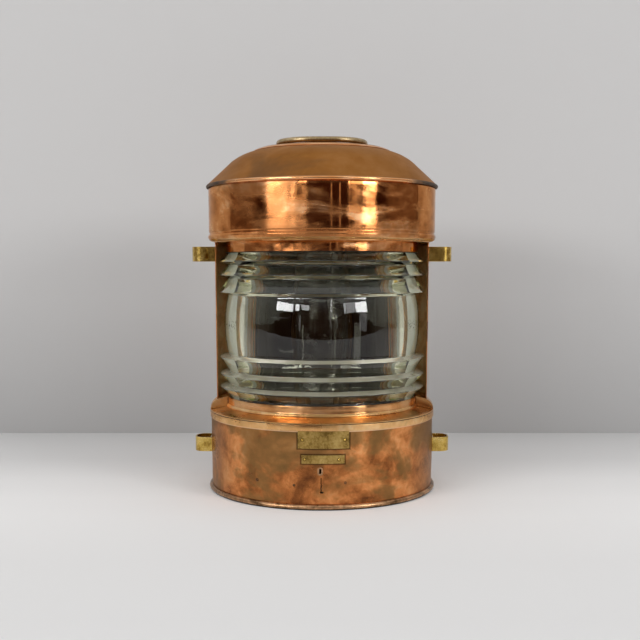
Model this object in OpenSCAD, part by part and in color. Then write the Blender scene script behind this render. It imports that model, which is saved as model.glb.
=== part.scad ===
// Ship's navigation lantern with a drum lens, burning paraffin.
// Origin at the centre of the foot, +Z up, front of the lens towards -Y. Millimetres.

/* [Housing] */
// Radius of the base drum and of the roof drum
drum_r = 125; // [124.5:0.1:125.5]
// Radius of the shell behind the lens
shell_r = 118.7; // [118.3:0.1:119]
// Thickness of the copper sheet
sheet = 1.2; // [1:0.1:1.4]
// Top of the base drum, under the shoulder
base_top = 84; // [82:1:86]
// Top of the shoulder, where the lower lens collar stands
shoulder_top = 93.6; // [93:0.1:94.5]
// Top of the rear shell and of the upper lens collar
shell_top = 274; // [273:0.5:275]
// Radius of the rolled bead round the foot
bead_r = 3.1; // [2.9:0.1:3.2]

/* [Lens] */
// Height of the lens's middle, where the flame burns
focus_z = 184.5; // [184:0.5:185]
// Angle that the lens covers
lens_arc = 225; // [200:5:225]
// Radius of the lens between its prisms
lens_r = 105.3; // [105:0.1:105.5]
// Radius of the belt at its middle
belt_r = 109.3; // [108.5:0.1:110]
// Radius at the prisms' tips
prism_r = 115.6; // [114:0.1:116]
// Radius of the lens's smooth inner face
lens_inner_r = 88; // [87:1:94]
// Outer radius of the two lens collars
collar_r = 106.6; // [106:0.1:107]

/* [Roof] */
// Height of the wired rim at the top of the drum
rim_z = 334.2; // [333:0.1:335]
// Radius of the wired rim's section
rim_r = 2.5; // [2.3:0.1:2.6]
// Height of the flat crown
crown_z = 376; // [375.5:0.1:376.5]
// Number of smoke slots in the rear of the drum
smoke_slots = 7; // [3:2:7]

/* [Rear door] */
// Half of the angle that the doorway spans
doorway_half = 38; // [34:1:38]
// Half of the angle that the door spans
door_half = 42; // [41:1:43]
// Lower edge of the doorway
doorway_low = 116; // [114:1:120]
// Upper edge of the doorway
doorway_high = 256; // [250:1:256]
// Distance of the hinge pins from the lantern's axis
hinge_r = 124.2; // [124:0.1:124.4]
// Radius of the hinge barrels
knuckle_r = 3.2; // [3:0.1:3.3]

/* [Fittings] */
// Reach of the guide loops from the lantern's axis
loop_reach = 144; // [142:1:146]
// Half of the guide loops' depth from front to back
loop_half = 14.6; // [14:0.1:15]
// Height of the guide loops' strap
loop_h = 16; // [14:1:17]
// Thickness of the brass strap
strap = 1.6; // [1.4:0.1:1.8]
// Radius of the carrying handle's rod
handle_r = 2.9; // [2.7:0.1:3]
// Half of the carrying handle's length
handle_half = 49.2; // [48:0.1:50]
// Reach of the folded handle in front of its pivots
handle_reach = 60; // [58:1:62]

/* [Lamp] */
// Outer radius of the oil tank
tank_r = 62; // [58:1:64]
// Height of the oil tank's straight wall
tank_side_z = 88; // [84:1:90]
// Radius of the burner's body
burner_r = 24; // [23:1:25]
// Height of the wick knob's shaft
knob_z = 122; // [121:1:123]
// Width of the flat wick
wick_w = 22; // [18:1:22]
// Thickness of the flat wick
wick_t = 3; // [2.4:0.1:3.2]

/* [Hidden] */
$fn = 96;

front = -90;
rear = 90;

copper = [0.66, 0.38, 0.22];
brass = [0.70, 0.57, 0.28];
tinned = [0.62, 0.60, 0.56];
steel = [0.45, 0.44, 0.43];
glass = [0.72, 0.78, 0.68, 0.5];
cotton = [0.86, 0.82, 0.72];

bead_z = bead_r - 0.2;
bead_centre_r = drum_r - 0.1;
bead_top = bead_z + bead_r;
floor_z = 9;
inlet_z = 24;
inlet_r = 3.5;
drain_r = 4.5;
drain_ring_r = 95;
eyelet_z = 40.6;
eyelet_bore = [2.2, 5.6];
slit_z = 16;
slit_w = 1.8;
stud_places = [[-13.2, 25.6], [11.1, 28.3]];
left_stud_z = 27.8;
plate_t = 1;
name_plate_z = [64.1, 82.1];
number_plate_z = [48.6, 57.3];

skirt_r = drum_r + 0.1 + sheet;
skirt_low = 82.2;
skirt_high = 88.9;
shoulder_edge_z = 89.9;
foot_round_r = 11.8;
foot_centre = [skirt_r - 0.2 - foot_round_r, 90.2];
foot_top = 101.6;
foot_inner_top = 104.4;
cheek_arc = 0.55;
ledge_drop = sheet * (foot_inner_top - foot_top) / (shell_r - collar_r - 0.1);
shell_from = -10.4;
shell_sweep = 180 - 2 * shell_from;

collar_low_top = 105.3;
collar_sheet = 1.4;
collar_bead = 1.6;
collar_up_low = 262.5;
lens_low = 96.8;
lens_high = 268;
belt_half = 31.5;
prism_end = 79.5;
collar_flange_r = 86;
channel_t = 0.5;

swage_z = 279.9;
swage_r = 2.2;
smoke_slot = [22, 7];
smoke_slot_z = 300;
flue_r = 37;
flue_top = 338;
flue_cap_r = 58;
flue_cap_z = 346;
dome_centre = [63.1, 312.7];
dome_r = 60;
dome_edge = [126.2, rim_z + 2.3];

knuckle_h = 10;
knuckle_gap = 0.4;
hinge_h = 3 * knuckle_h + 2 * knuckle_gap;
pin_r = 1.5;
pin_play = 0.05;
hinge_az = rear - 47;
hinge_low_z = 120;
hinge_high_z = 252 - hinge_h;
door_r = 119.3;
door_low = doorway_low - 6;
door_high = doorway_high + 6;
leaf_t = 1.2;
hasp_az = rear + 37;
hasp_z = focus_z;
hasp_bracket_h = 4.8;
hasp_half_h = 8;
hasp_pivot_r = 124;
hasp_barrel_r = 2.5;
hasp_pin_r = 1;
hasp_neck = 2.8;
hasp_strap_half = 6.5;
hasp_r = 121.3;
staple_az = rear + 50;
staple_top_r = 128;

loop_corner = 11;
loop_upper_z = 253.5;
loop_lower_z = 40.8;
eye_hole_r = 2.4;

pivot_z = crown_z + 0.4 + handle_r;
handle_corner = 36;
handle_elbow = 6;
ear_inner_x = 34;
ear_outer_x = 38;
ear_r = 4.4;
ear_foot = 11;
ear_foot_t = 1.4;

tank_low = 12;
tank_wall = 1.2;
tank_neck_z = 106;
tank_neck_r = 20;
tank_mouth_r = 15;
filler_y = 42;
filler_neck_r = 9.2;
filler_neck_z = 112;
burner_low = 112;
burner_high = 133;
gallery_r = 34;
prong_r = 31.6;
prong_h = 14;
flame_cap_r = 21;
wick_tube_gap = 0.7;
wick_tube_t = 1;
wick_tube_low = 104;
wick_tube_top = 158;
wick_low = 30;
wick_high = 162;
wheel_r = 5;
shaft_r = 1.5;
shaft_y = -(wick_t / 2 + 0.3 + wheel_r);
shaft_end = 58;
shaft_inner_end = 27;
knob_r = 10.5;
knob_t = 6;
chimney_low = 133.4;

// points of an arc about [r, z], with its angle counted from straight up
function arc(centre, radius, from, to, steps) =
    [for (i = [0:steps]) let (a = from + (to - from) * i / steps)
        [centre[0] + radius * sin(a), centre[1] + radius * cos(a)]];

function backwards(points) = [for (i = [len(points) - 1:-1:0]) points[i]];

module revolve(outline, from = 0, sweep = 360)
    rotate([0, 0, from]) rotate_extrude(angle = sweep) polygon(outline);

// an upright band between two radii, over part of the circle or all of it
module band(inner, outer, low, high, from = 0, sweep = 360)
    revolve([[inner, low], [outer, low], [outer, high], [inner, high]], from, sweep);

// stands a child on a wall of the given radius, its +Z pointing outwards
module on_wall(radius, azimuth, height)
    rotate([0, 0, azimuth]) translate([radius, 0, height]) rotate([0, 90, 0]) children();

module upright(radius, azimuth, height)
    rotate([0, 0, azimuth]) translate([radius, 0, height]) children();

module rivet(head_r, head_h)
    rotate_extrude() polygon([[0, 0], [head_r, 0], [head_r * 0.86, head_h * 0.62],
        [head_r * 0.5, head_h * 0.93], [0, head_h]]);

module torus(centre_r, section_r, height)
    rotate_extrude() translate([centre_r, height]) circle(section_r);

// Base

module base_bead() color(copper)
    difference() {
        torus(bead_centre_r, bead_r, bead_z);
        torus(bead_centre_r, bead_r - 1, bead_z);
        translate([0, 0, -5]) cylinder(h = 5, r = drum_r + 10);
    }

module base_wire() color(steel) torus(bead_centre_r, bead_r - 1.05, bead_z);

module base_shell() color(copper)
    difference() {
        band(drum_r - sheet, drum_r, bead_top, base_top);
        for (i = [-4:4]) on_wall(drum_r - 5, rear + 12 * i, inlet_z) cylinder(h = 10, r = inlet_r);
        on_wall(drum_r - 5, front - 0.8, eyelet_z) linear_extrude(10)
            oval(eyelet_bore[0] + 0.2, eyelet_bore[1] + 0.2);
        rotate([0, 0, front - 0.4]) translate([drum_r - 5, -slit_w / 2, slit_z]) {
            cube([10, slit_w, 16]);
            cube([10, slit_w + 1.6, 2]);
        }
    }

module base_floor() color(copper)
    difference() {
        revolve([[0, floor_z], [drum_r - 2 * sheet, floor_z], [drum_r - 2 * sheet, bead_top + 0.2],
            [drum_r - sheet, bead_top + 0.2], [drum_r - sheet, floor_z + sheet],
            [0, floor_z + sheet]]);
        for (i = [0:7]) upright(drain_ring_r, 45 * i + 22.5, 0) cylinder(h = 20, r = drain_r);
    }

// an outline longer along x, which on a wall is upright
module oval(width, long) {
    r = width / 2;
    for (s = [-1, 1]) translate([s * (long / 2 - r), 0]) circle(r);
    square([long - width, width], center = true);
}

module base_eyelet() color(brass)
    on_wall(drum_r, front - 0.8, eyelet_z) difference() {
        linear_extrude(1.1) oval(5.6, 8.8);
        translate([0, 0, -1]) linear_extrude(4) oval(eyelet_bore[0], eyelet_bore[1]);
    }

module base_studs() color(brass) {
    for (place = stud_places) on_wall(drum_r, front + place[0], place[1]) rivet(1.5, 0.8);
    on_wall(drum_r, front - 32.6, left_stud_z) rivet(1.9, 0.9);
}

module name_plate() color(brass)
    band(drum_r + 0.02, drum_r + plate_t, name_plate_z[0], name_plate_z[1], front - 11.3, 24.1);

module number_plate() color(brass)
    band(drum_r + 0.02, drum_r + plate_t, number_plate_z[0], number_plate_z[1], front - 9.6,
        20.2);

module plate_rivets() color(brass) {
    name_z = (name_plate_z[0] + name_plate_z[1]) / 2;
    number_z = (number_plate_z[0] + number_plate_z[1]) / 2;
    for (a = [-9.1, 10.7]) on_wall(drum_r + plate_t, front + a, name_z) rivet(1.5, 0.9);
    for (a = [-8, 8]) on_wall(drum_r + plate_t, front + a, number_z) rivet(1.3, 0.8);
}

module shoulder_ring() color(copper)
    revolve([[skirt_r - sheet, skirt_low], [skirt_r, skirt_low], [skirt_r, skirt_high - 0.5],
        [skirt_r - 0.35, skirt_high - 0.1], [skirt_r, skirt_high + 0.3],
        [skirt_r - 0.9, shoulder_edge_z], [collar_r, shoulder_top],
        [collar_r - sheet, shoulder_top], [collar_r - sheet, shoulder_top - sheet],
        [skirt_r - sheet, shoulder_edge_z - sheet]]);

// the rounded foot of the rear shell, with a cheek across each end
module shell_foot() color(copper) {
    outside = arc(foot_centre, foot_round_r, 90, 22, 8);
    inside = arc(foot_centre, foot_round_r - sheet, 90, 22, 8);
    ledge = [[shell_r, foot_top], [collar_r + 0.1, foot_inner_top]];
    ledge_under = [[collar_r + 0.1, foot_inner_top - sheet], [shell_r - sheet, foot_top - sheet]];
    revolve(concat(outside, ledge, ledge_under, backwards(inside)), shell_from, shell_sweep);
    cheek = concat(arc(foot_centre, foot_round_r - sheet / 2, 90, 22, 8),
        [[shell_r - 0.4, foot_top - 0.5], [collar_r + 0.6, foot_inner_top - 0.6],
        [collar_r + 0.6, shoulder_top + 0.2]]);
    for (end = [shell_from + 0.1, shell_from + shell_sweep - cheek_arc - 0.1])
        revolve(cheek, end, cheek_arc);
}

// Lens

module lens_collar_lower() color(copper)
    difference() {
        revolve([[collar_flange_r, lens_low - sheet], [collar_r - collar_sheet, lens_low - sheet],
            [collar_r - collar_sheet, shoulder_top], [collar_r + collar_bead, shoulder_top],
            [collar_r + collar_bead, shoulder_top + 1.6], [collar_r, shoulder_top + 3.2],
            [collar_r, collar_low_top], [collar_r - collar_sheet, collar_low_top],
            [collar_r - collar_sheet, lens_low], [collar_flange_r, lens_low]]);
        revolve([[collar_r + 0.05, shoulder_top - 1], [collar_r + 9, shoulder_top - 1],
            [collar_r + 9, shoulder_top + 5], [collar_r + 0.05, shoulder_top + 5]],
            shell_from - 1, shell_sweep + 2);
    }

// outer face of the lens, from one edge of the belt to the glass's end, counted from the focus
prism_face = [[lens_r, 32.5], [prism_r, 35.5], [lens_r, 49.5], [lens_r, 50.3],
    [prism_r, 54], [lens_r, 64.2], [lens_r, 65], [prism_r, 68.5], [lens_r - 0.9, 78]];

module lens() color(glass) {
    sagitta = belt_r - lens_r;
    belt_curve = (belt_half * belt_half + sagitta * sagitta) / (2 * sagitta);
    belt_edge = asin(belt_half / belt_curve);
    belt = arc([belt_r - belt_curve, focus_z], belt_curve, 90 + belt_edge, 90 - belt_edge, 16);
    upper = [for (p = prism_face) [p[0], focus_z + p[1]]];
    lower = [for (p = backwards(prism_face)) [p[0], focus_z - p[1]]];
    edge_r = collar_r - collar_sheet;
    revolve(concat([[lens_inner_r, lens_low], [edge_r, lens_low], [edge_r, focus_z - prism_end]],
        lower, belt, upper, [[edge_r, focus_z + prism_end], [edge_r, lens_high],
        [lens_inner_r, lens_high]]), front - lens_arc / 2, lens_arc);
}

// a strip that closes one end of the lens and joins it to the rear shell
module lens_channel(side) color(tinned)
    rotate([0, 0, front + side * (lens_arc / 2 + channel_t / 2 + 0.05)]) {
        seat_r = collar_r - collar_sheet - 0.03;
        revolve([[lens_inner_r - 1.2, lens_low + 0.1], [seat_r, lens_low + 0.1],
            [seat_r, collar_low_top + 0.1], [collar_r + 0.1, collar_low_top + 0.1],
            [collar_r + 0.1, foot_inner_top + 0.1],
            [shell_r - sheet - 0.03, foot_top + ledge_drop + 0.1],
            [shell_r - sheet - 0.03, shell_top - 0.1], [collar_r + 0.03, shell_top - 0.1],
            [collar_r + 0.03, collar_up_low - 0.1], [seat_r, collar_up_low - 0.1],
            [seat_r, lens_high - 0.1], [lens_inner_r - 1.2, lens_high - 0.1]],
            -channel_t / 2, channel_t);
        band(lens_inner_r - 1.2, lens_inner_r - 0.2, lens_low + 0.1, lens_high - 0.1,
            side > 0 ? -channel_t / 2 - 4 : -channel_t / 2, 4 + channel_t);
    }

module lens_channel_left() lens_channel(-1);

module lens_channel_right() lens_channel(1);

module lens_collar_upper() color(copper)
    revolve([[collar_flange_r, lens_high], [collar_r - collar_sheet, lens_high],
        [collar_r - collar_sheet, collar_up_low], [collar_r, collar_up_low],
        [collar_r, shell_top], [collar_r - collar_sheet, shell_top],
        [collar_r - collar_sheet, lens_high + sheet], [collar_flange_r, lens_high + sheet]]);

module back_shell() color(copper)
    difference() {
        revolve([[shell_r - sheet, foot_top + ledge_drop + 0.02], [shell_r, foot_top + 0.02],
            [shell_r, shell_top], [shell_r - sheet, shell_top]], shell_from, shell_sweep);
        band(shell_r - 5, shell_r + 5, doorway_low, doorway_high, rear - doorway_half,
            2 * doorway_half);
    }

// Roof

module roof_floor() color(copper)
    band(flue_r + 0.05, shell_r + 0.5, shell_top, shell_top + sheet);

module flue_tube() color(tinned)
    band(flue_r - 1, flue_r, shell_top - 6, flue_top);

module flue_cap() color(tinned) {
    revolve([[0, flue_cap_z + 6], [flue_cap_r, flue_cap_z], [flue_cap_r, flue_cap_z + sheet],
        [0, flue_cap_z + 6 + sheet]]);
    for (i = [0:2]) rotate([0, 0, 120 * i + 30]) translate([flue_r, -4, flue_top - 18])
        cube([1.2, 8, flue_cap_z + 2.1 - flue_top + 18]);
}

// the drum under the dome, with a bead swaged outwards just above its turned-in lower edge
module roof_drum() color(copper)
    difference() {
        revolve(concat([[shell_r + 0.6, swage_z - 5.3], [drum_r - 2.2, swage_z - 4.5],
            [drum_r - 0.2, swage_z - 3], [drum_r + 0.1, swage_z - 2.2]],
            arc([drum_r - 1.3, swage_z], swage_r, 100, 60, 4),
            [[drum_r - 0.1, swage_z + 2.3], [drum_r - 0.8, swage_z + 3],
            [drum_r - 0.8, swage_z + 4.2], [drum_r, swage_z + 5.4], [drum_r, rim_z - rim_r],
            [drum_r - sheet, rim_z - rim_r], [drum_r - sheet, swage_z + 6],
            [drum_r - 2, swage_z + 4.8], [drum_r - 2, swage_z + 2.2],
            [drum_r - 1.1, swage_z + 1], [drum_r - 1.1, swage_z - 1.7],
            [drum_r - 2.9, swage_z - 3.1], [shell_r + 0.6, swage_z - 4.1]]));
        for (i = [0:smoke_slots - 1])
            rotate([0, 0, rear + 20 * (i - (smoke_slots - 1) / 2)])
                translate([drum_r - 6, -smoke_slot[0] / 2, smoke_slot_z])
                    cube([12, smoke_slot[0], smoke_slot[1]]);
    }

module roof_rim() color(copper) torus(drum_r + 0.05, rim_r, rim_z);

module dome() color(copper)
    revolve(concat([dome_edge], arc(dome_centre, dome_r, 38, 8, 10),
        [[0, crown_z - 3.1], [0, crown_z - 3.1 - sheet]],
        backwards(arc(dome_centre, dome_r - sheet, 38, 8, 10)), [dome_edge + [-2, 0.5]]));

module crown_plate() color(copper)
    revolve([[0, crown_z - 3], [71.5, crown_z - 3.75], [75.7, crown_z - 4.5],
        [76, crown_z - 4.1], [75.2, crown_z - 3.2], [73, crown_z - 2.4], [70, crown_z - 1.8],
        [64, crown_z - 1], [58, crown_z - 0.4], [52, crown_z], [0, crown_z]]);

module handle_ear(side) color(brass)
    difference() {
        translate([side > 0 ? ear_inner_x : -ear_outer_x, 0, 0]) {
            translate([0, 0, pivot_z]) rotate([0, 90, 0])
                cylinder(h = ear_outer_x - ear_inner_x, r = ear_r);
            translate([0, -ear_r, crown_z])
                cube([ear_outer_x - ear_inner_x, 2 * ear_r, pivot_z - crown_z]);
            for (s = [-ear_foot, ear_r - 0.1]) translate([0, s, crown_z])
                cube([ear_outer_x - ear_inner_x, ear_foot + 0.1 - ear_r, ear_foot_t]);
        }
        translate([side > 0 ? ear_inner_x - 1 : -ear_outer_x - 1, 0, pivot_z])
            rotate([0, 90, 0]) cylinder(h = ear_outer_x - ear_inner_x + 2, r = handle_r + pin_play);
        translate([-ear_outer_x - 1, -ear_foot - 1, crown_z - 5])
            cube([2 * ear_outer_x + 2, 2 * ear_foot + 2, 5]);
    }

module handle_ear_left() handle_ear(-1);

module handle_ear_right() handle_ear(1);

module ear_rivets() color(brass)
    for (x = [-36, 36], y = [-7.8, 7.8]) translate([x, y, crown_z + ear_foot_t]) rivet(1.4, 0.9);

// a bent rod that lies forward on the crown and turns in the two ears
module carrying_handle() color(brass)
    translate([0, 0, pivot_z]) {
        arm_x = handle_half - handle_r;
        bar_y = -(handle_reach - handle_r);
        translate([-(arm_x - handle_corner), bar_y, 0]) rotate([0, 90, 0])
            cylinder(h = 2 * (arm_x - handle_corner), r = handle_r);
        for (s = [-1, 1]) {
            translate([s * (arm_x - handle_corner), bar_y + handle_corner, 0])
                rotate([0, 0, s > 0 ? -90 : 180]) rotate_extrude(angle = 90)
                    translate([handle_corner, 0]) circle(handle_r);
            translate([s * arm_x, bar_y + handle_corner, 0]) rotate([-90, 0, 0])
                cylinder(h = -handle_elbow - bar_y - handle_corner, r = handle_r);
            translate([s * (arm_x - handle_elbow), -handle_elbow, 0])
                rotate([0, 0, s > 0 ? 0 : 90]) rotate_extrude(angle = 90)
                    translate([handle_elbow, 0]) circle(handle_r);
            translate([s > 0 ? ear_inner_x - 2 : -(arm_x - handle_elbow), 0, 0])
                rotate([0, 90, 0])
                    cylinder(h = arm_x - handle_elbow - ear_inner_x + 2, r = handle_r);
        }
    }

// Guide loops, which ride on two upright rods

module loop_plan(reach, half, corner) {
    translate([100, -half]) square([reach - corner - 100, 2 * half]);
    translate([100, corner - half]) square([reach - 100, 2 * (half - corner)]);
    for (s = [-1, 1]) translate([reach - corner, s * (half - corner)]) circle(corner);
}

module guide_loop(wall_r, low, keyhole = false)
    difference() {
        translate([0, 0, low]) linear_extrude(loop_h) difference() {
            union() {
                difference() {
                    loop_plan(loop_reach, loop_half, loop_corner);
                    loop_plan(loop_reach - strap, loop_half - strap, loop_corner - strap);
                }
                intersection() {
                    circle(wall_r + strap);
                    translate([100, 0.1 - loop_half]) square([60, 2 * loop_half + 6]);
                }
            }
            circle(wall_r);
        }
        if (keyhole) translate([126.6, 1 - loop_half + strap, low]) rotate([90, 0, 0]) {
            translate([0, 4.6, 0]) cylinder(h = strap + 2, r = eye_hole_r);
            linear_extrude(strap + 2) polygon([[-eye_hole_r * 0.9, 5.4], [eye_hole_r * 0.9, 5.4],
                [0.6, 14], [-0.6, 14]]);
        }
    }

module guide_loop_upper_left() color(brass)
    mirror([1, 0, 0]) guide_loop(shell_r, loop_upper_z, true);

module guide_loop_upper_right() color(brass) guide_loop(shell_r, loop_upper_z);

module guide_loop_lower_left() color(brass) mirror([1, 0, 0]) guide_loop(drum_r, loop_lower_z);

module guide_loop_lower_right() color(brass) guide_loop(drum_r, loop_lower_z);

module loop_rivets() color(brass)
    for (side = [0, 180], s = [-2.8, 2.8]) {
        on_wall(shell_r + strap, side + s, loop_upper_z + loop_h / 2) rivet(1.8, 1.1);
        on_wall(drum_r + strap, side + s, loop_lower_z + loop_h / 2) rivet(1.8, 1.1);
    }

// Rear door

module knuckle(low, height)
    upright(hinge_r, hinge_az, low) difference() {
        cylinder(h = height, r = knuckle_r);
        translate([0, 0, -1]) cylinder(h = height + 2, r = pin_r + pin_play);
    }

// the fixed half of a hinge: a leaf on the shell and the outer two knuckles
module hinge_leaf(low) color(brass)
    for (z = [low, low + 2 * (knuckle_h + knuckle_gap)]) {
        knuckle(z, knuckle_h);
        difference() {
            union() {
                band(shell_r, shell_r + leaf_t, z, z + knuckle_h, hinge_az - 9, 10);
                band(shell_r, hinge_r - 1, z, z + knuckle_h, hinge_az - 0.9, 1.8);
            }
            upright(hinge_r, hinge_az, z - 1) cylinder(h = knuckle_h + 2, r = knuckle_r - 0.4);
        }
    }

module hinge_leaf_upper() hinge_leaf(hinge_high_z);

module hinge_leaf_lower() hinge_leaf(hinge_low_z);

module hinge_pin(low) color(steel)
    upright(hinge_r, hinge_az, low - 1.2) {
        cylinder(h = hinge_h + 2.4, r = pin_r);
        cylinder(h = 1, r = pin_r + 1);
        translate([0, 0, hinge_h + 1.4]) cylinder(h = 1, r = pin_r + 1);
    }

module hinge_pin_upper() hinge_pin(hinge_high_z);

module hinge_pin_lower() hinge_pin(hinge_low_z);

module door_panel() color(copper)
    band(door_r, door_r + sheet, door_low, door_high, rear - door_half, 2 * door_half);

// the moving half of a hinge: a strap on the door and the middle knuckle
module door_leaf(low) color(brass) {
    z = low + knuckle_h + knuckle_gap;
    knuckle(z, knuckle_h);
    band(door_r + sheet, door_r + sheet + leaf_t, z + 0.3, z + knuckle_h - 0.3, hinge_az + 0.9,
        16.6);
}

module door_leaf_upper() door_leaf(hinge_high_z);

module door_leaf_lower() door_leaf(hinge_low_z);

module door_pull() color(brass)
    on_wall(door_r + sheet, rear + 22, hasp_z) rotate_extrude()
        polygon([[0, 0], [5, 0], [5, 1], [2.4, 1.6], [2.2, 3.4], [4, 4.6], [4.2, 6],
            [3.2, 7], [0, 7.3]]);

module hasp_bracket() color(brass)
    for (z = [hasp_z - hasp_half_h, hasp_z + hasp_half_h - hasp_bracket_h]) difference() {
        union() {
            upright(hasp_pivot_r, hasp_az, z) cylinder(h = hasp_bracket_h, r = hasp_barrel_r);
            band(door_r + sheet, door_r + sheet + 1.1, z, z + hasp_bracket_h, hasp_az - 11, 11.4);
        }
        upright(hasp_pivot_r, hasp_az, z - 1)
            cylinder(h = hasp_bracket_h + 2, r = hasp_pin_r + pin_play);
    }

module hasp_pin() color(steel)
    upright(hasp_pivot_r, hasp_az, hasp_z - hasp_half_h - 0.6) {
        cylinder(h = 2 * hasp_half_h + 1.2, r = hasp_pin_r);
        cylinder(h = 0.5, r = hasp_pin_r + 0.6);
        translate([0, 0, 2 * hasp_half_h + 0.7]) cylinder(h = 0.5, r = hasp_pin_r + 0.6);
    }

// a slotted strap that turns on the door and drops over the staple on the shell
module hasp() color(brass)
    difference() {
        union() {
            upright(hasp_pivot_r, hasp_az, hasp_z - hasp_neck)
                cylinder(h = 2 * hasp_neck, r = hasp_barrel_r);
            difference() {
                band(hasp_r, hasp_r + leaf_t, hasp_z - hasp_strap_half, hasp_z + hasp_strap_half,
                    hasp_az + 0.8, 22.2);
                for (z = [hasp_z - hasp_strap_half - 1, hasp_z + hasp_neck - 0.2])
                    band(hasp_r - 1, hasp_r + 4, z, z + hasp_strap_half - hasp_neck + 1.2,
                        hasp_az - 1, 4);
            }
        }
        upright(hasp_pivot_r, hasp_az, hasp_z - 4) cylinder(h = 8, r = hasp_pin_r + pin_play);
        band(hasp_r - 1, hasp_r + 4, hasp_z - 2.4, hasp_z + 2.4, staple_az - 2.3, 8.6);
    }

module hasp_staple() color(brass)
    upright(0, staple_az, hasp_z - 1.25) difference() {
        translate([shell_r - 0.05, -3, 0]) cube([staple_top_r - shell_r, 6, 2.5]);
        translate([staple_top_r - 3, 0, -1]) cylinder(h = 5, r = 1.5);
        cylinder(h = 3, r = shell_r);
    }

// Lamp

module tank_seat() color(tinned) band(54, 60, floor_z + sheet, tank_low);

module oil_tank() color(brass)
    difference() {
        union() {
            revolve([[0, tank_low], [tank_r, tank_low], [tank_r, tank_side_z],
                [tank_neck_r, tank_neck_z - 1.2], [tank_neck_r, tank_neck_z],
                [0, tank_neck_z]]);
            translate([0, filler_y, tank_side_z])
                cylinder(h = filler_neck_z - tank_side_z, r = filler_neck_r);
        }
        revolve([[0, tank_low + tank_wall], [tank_r - tank_wall, tank_low + tank_wall],
            [tank_r - tank_wall, tank_side_z - 0.8],
            [tank_neck_r, tank_neck_z - 1.2 - 1.9], [0, tank_neck_z - 1.2 - 1.9]]);
        translate([0, 0, tank_side_z]) cylinder(h = 30, r = tank_mouth_r);
        translate([0, filler_y, tank_side_z - 6]) cylinder(h = 40, r = filler_neck_r - tank_wall);
    }

module filler_cap() color(brass)
    translate([0, filler_y, 0]) difference() {
        union() {
            translate([0, 0, filler_neck_z - 7]) cylinder(h = 9.2, r = filler_neck_r + 1.8);
            translate([0, 0, filler_neck_z + 2]) cylinder(h = 3, r = 3.5);
            for (i = [0:11]) rotate([0, 0, 30 * i])
                translate([filler_neck_r + 1.7, -0.8, filler_neck_z - 5]) cube([0.7, 1.6, 6]);
        }
        translate([0, 0, filler_neck_z - 8]) cylinder(h = 8.4, r = filler_neck_r + 0.4);
    }

module burner_collar() color(brass)
    difference() {
        band(tank_mouth_r, 22, tank_neck_z, burner_low);
        for (i = [0:11]) upright(22.6, 30 * i, tank_neck_z - 1) cylinder(h = 8, r = 1.4);
    }

// an upright bar over the wick's section, larger by extra on each side
module wick_slot(extra, low, high)
    translate([-wick_w / 2 - extra, -wick_t / 2 - extra, low])
        cube([wick_w + 2 * extra, wick_t + 2 * extra, high - low]);

module burner_body() color(brass)
    difference() {
        cylinder_between(burner_r, burner_low, burner_high);
        cylinder_between(burner_r - 1.2, burner_low + 1.2, burner_high - 1.2);
        wick_slot(wick_tube_gap + wick_tube_t, burner_low - 1, burner_high + 1);
        for (i = [0:11]) on_wall(burner_r - 4, 30 * i + 15, 117) cylinder(h = 8, r = 1.6);
        translate([-burner_r - 5, shaft_y, knob_z]) rotate([0, 90, 0])
            cylinder(h = 2 * burner_r + 10, r = shaft_r + pin_play);
    }

module cylinder_between(radius, low, high)
    translate([0, 0, low]) cylinder(h = high - low, r = radius);

module burner_gallery() color(brass) {
    band(burner_r + 0.02, gallery_r, burner_high - 1.2, burner_high);
    for (i = [0:5]) rotate([0, 0, 60 * i]) translate([prong_r, -3, burner_high - 0.1])
        cube([1, 6, prong_h]);
}

module flame_cap() color(brass)
    difference() {
        revolve([[flame_cap_r, burner_high], [flame_cap_r, burner_high + 6],
            [flame_cap_r - 4.5, burner_high + 19], [0, burner_high + 21.4],
            [0, burner_high + 20.4], [flame_cap_r - 5, burner_high + 18.1],
            [flame_cap_r - 1, burner_high + 5.7], [flame_cap_r - 1, burner_high]]);
        wick_slot(wick_tube_gap + wick_tube_t, 140, 160);
    }

module wick_tube() color(brass)
    difference() {
        wick_slot(wick_tube_gap + wick_tube_t, wick_tube_low, wick_tube_top);
        wick_slot(wick_tube_gap, wick_tube_low - 4, wick_tube_top + 2);
        translate([-8, -12, knob_z - 6]) cube([16, 11, 12]);
    }

module wick() color(cotton)
    wick_slot(0, wick_low, wick_high);

module wick_shaft() color(steel)
    translate([0, shaft_y, knob_z]) rotate([0, 90, 0]) {
        translate([0, 0, -shaft_inner_end])
            cylinder(h = shaft_end + shaft_inner_end, r = shaft_r);
        translate([0, 0, -7]) cylinder(h = 14, r = wheel_r);
    }

module wick_knob() color(brass)
    translate([shaft_end - knob_t, shaft_y, knob_z]) rotate([0, 90, 0]) difference() {
        union() {
            cylinder(h = knob_t, r = knob_r);
            translate([0, 0, -3]) cylinder(h = 4, r = 4);
        }
        translate([0, 0, -5]) cylinder(h = knob_t + 5, r = shaft_r);
        for (i = [0:15]) rotate([0, 0, 22.5 * i]) translate([knob_r + 0.9, 0, -1])
            cylinder(h = knob_t + 2, r = 1.6);
    }

module chimney() color(glass) {
    outside = [[31, chimney_low], [31, 148], [33.2, 158], [35.2, 168], [36, 178], [35.2, 188],
        [33, 198], [29.8, 208], [26.8, 220], [25.3, 234], [25, 252]];
    inside = [for (p = outside) [p[0] - 2, p[1]]];
    revolve(concat(outside, backwards(inside)));
}

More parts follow.
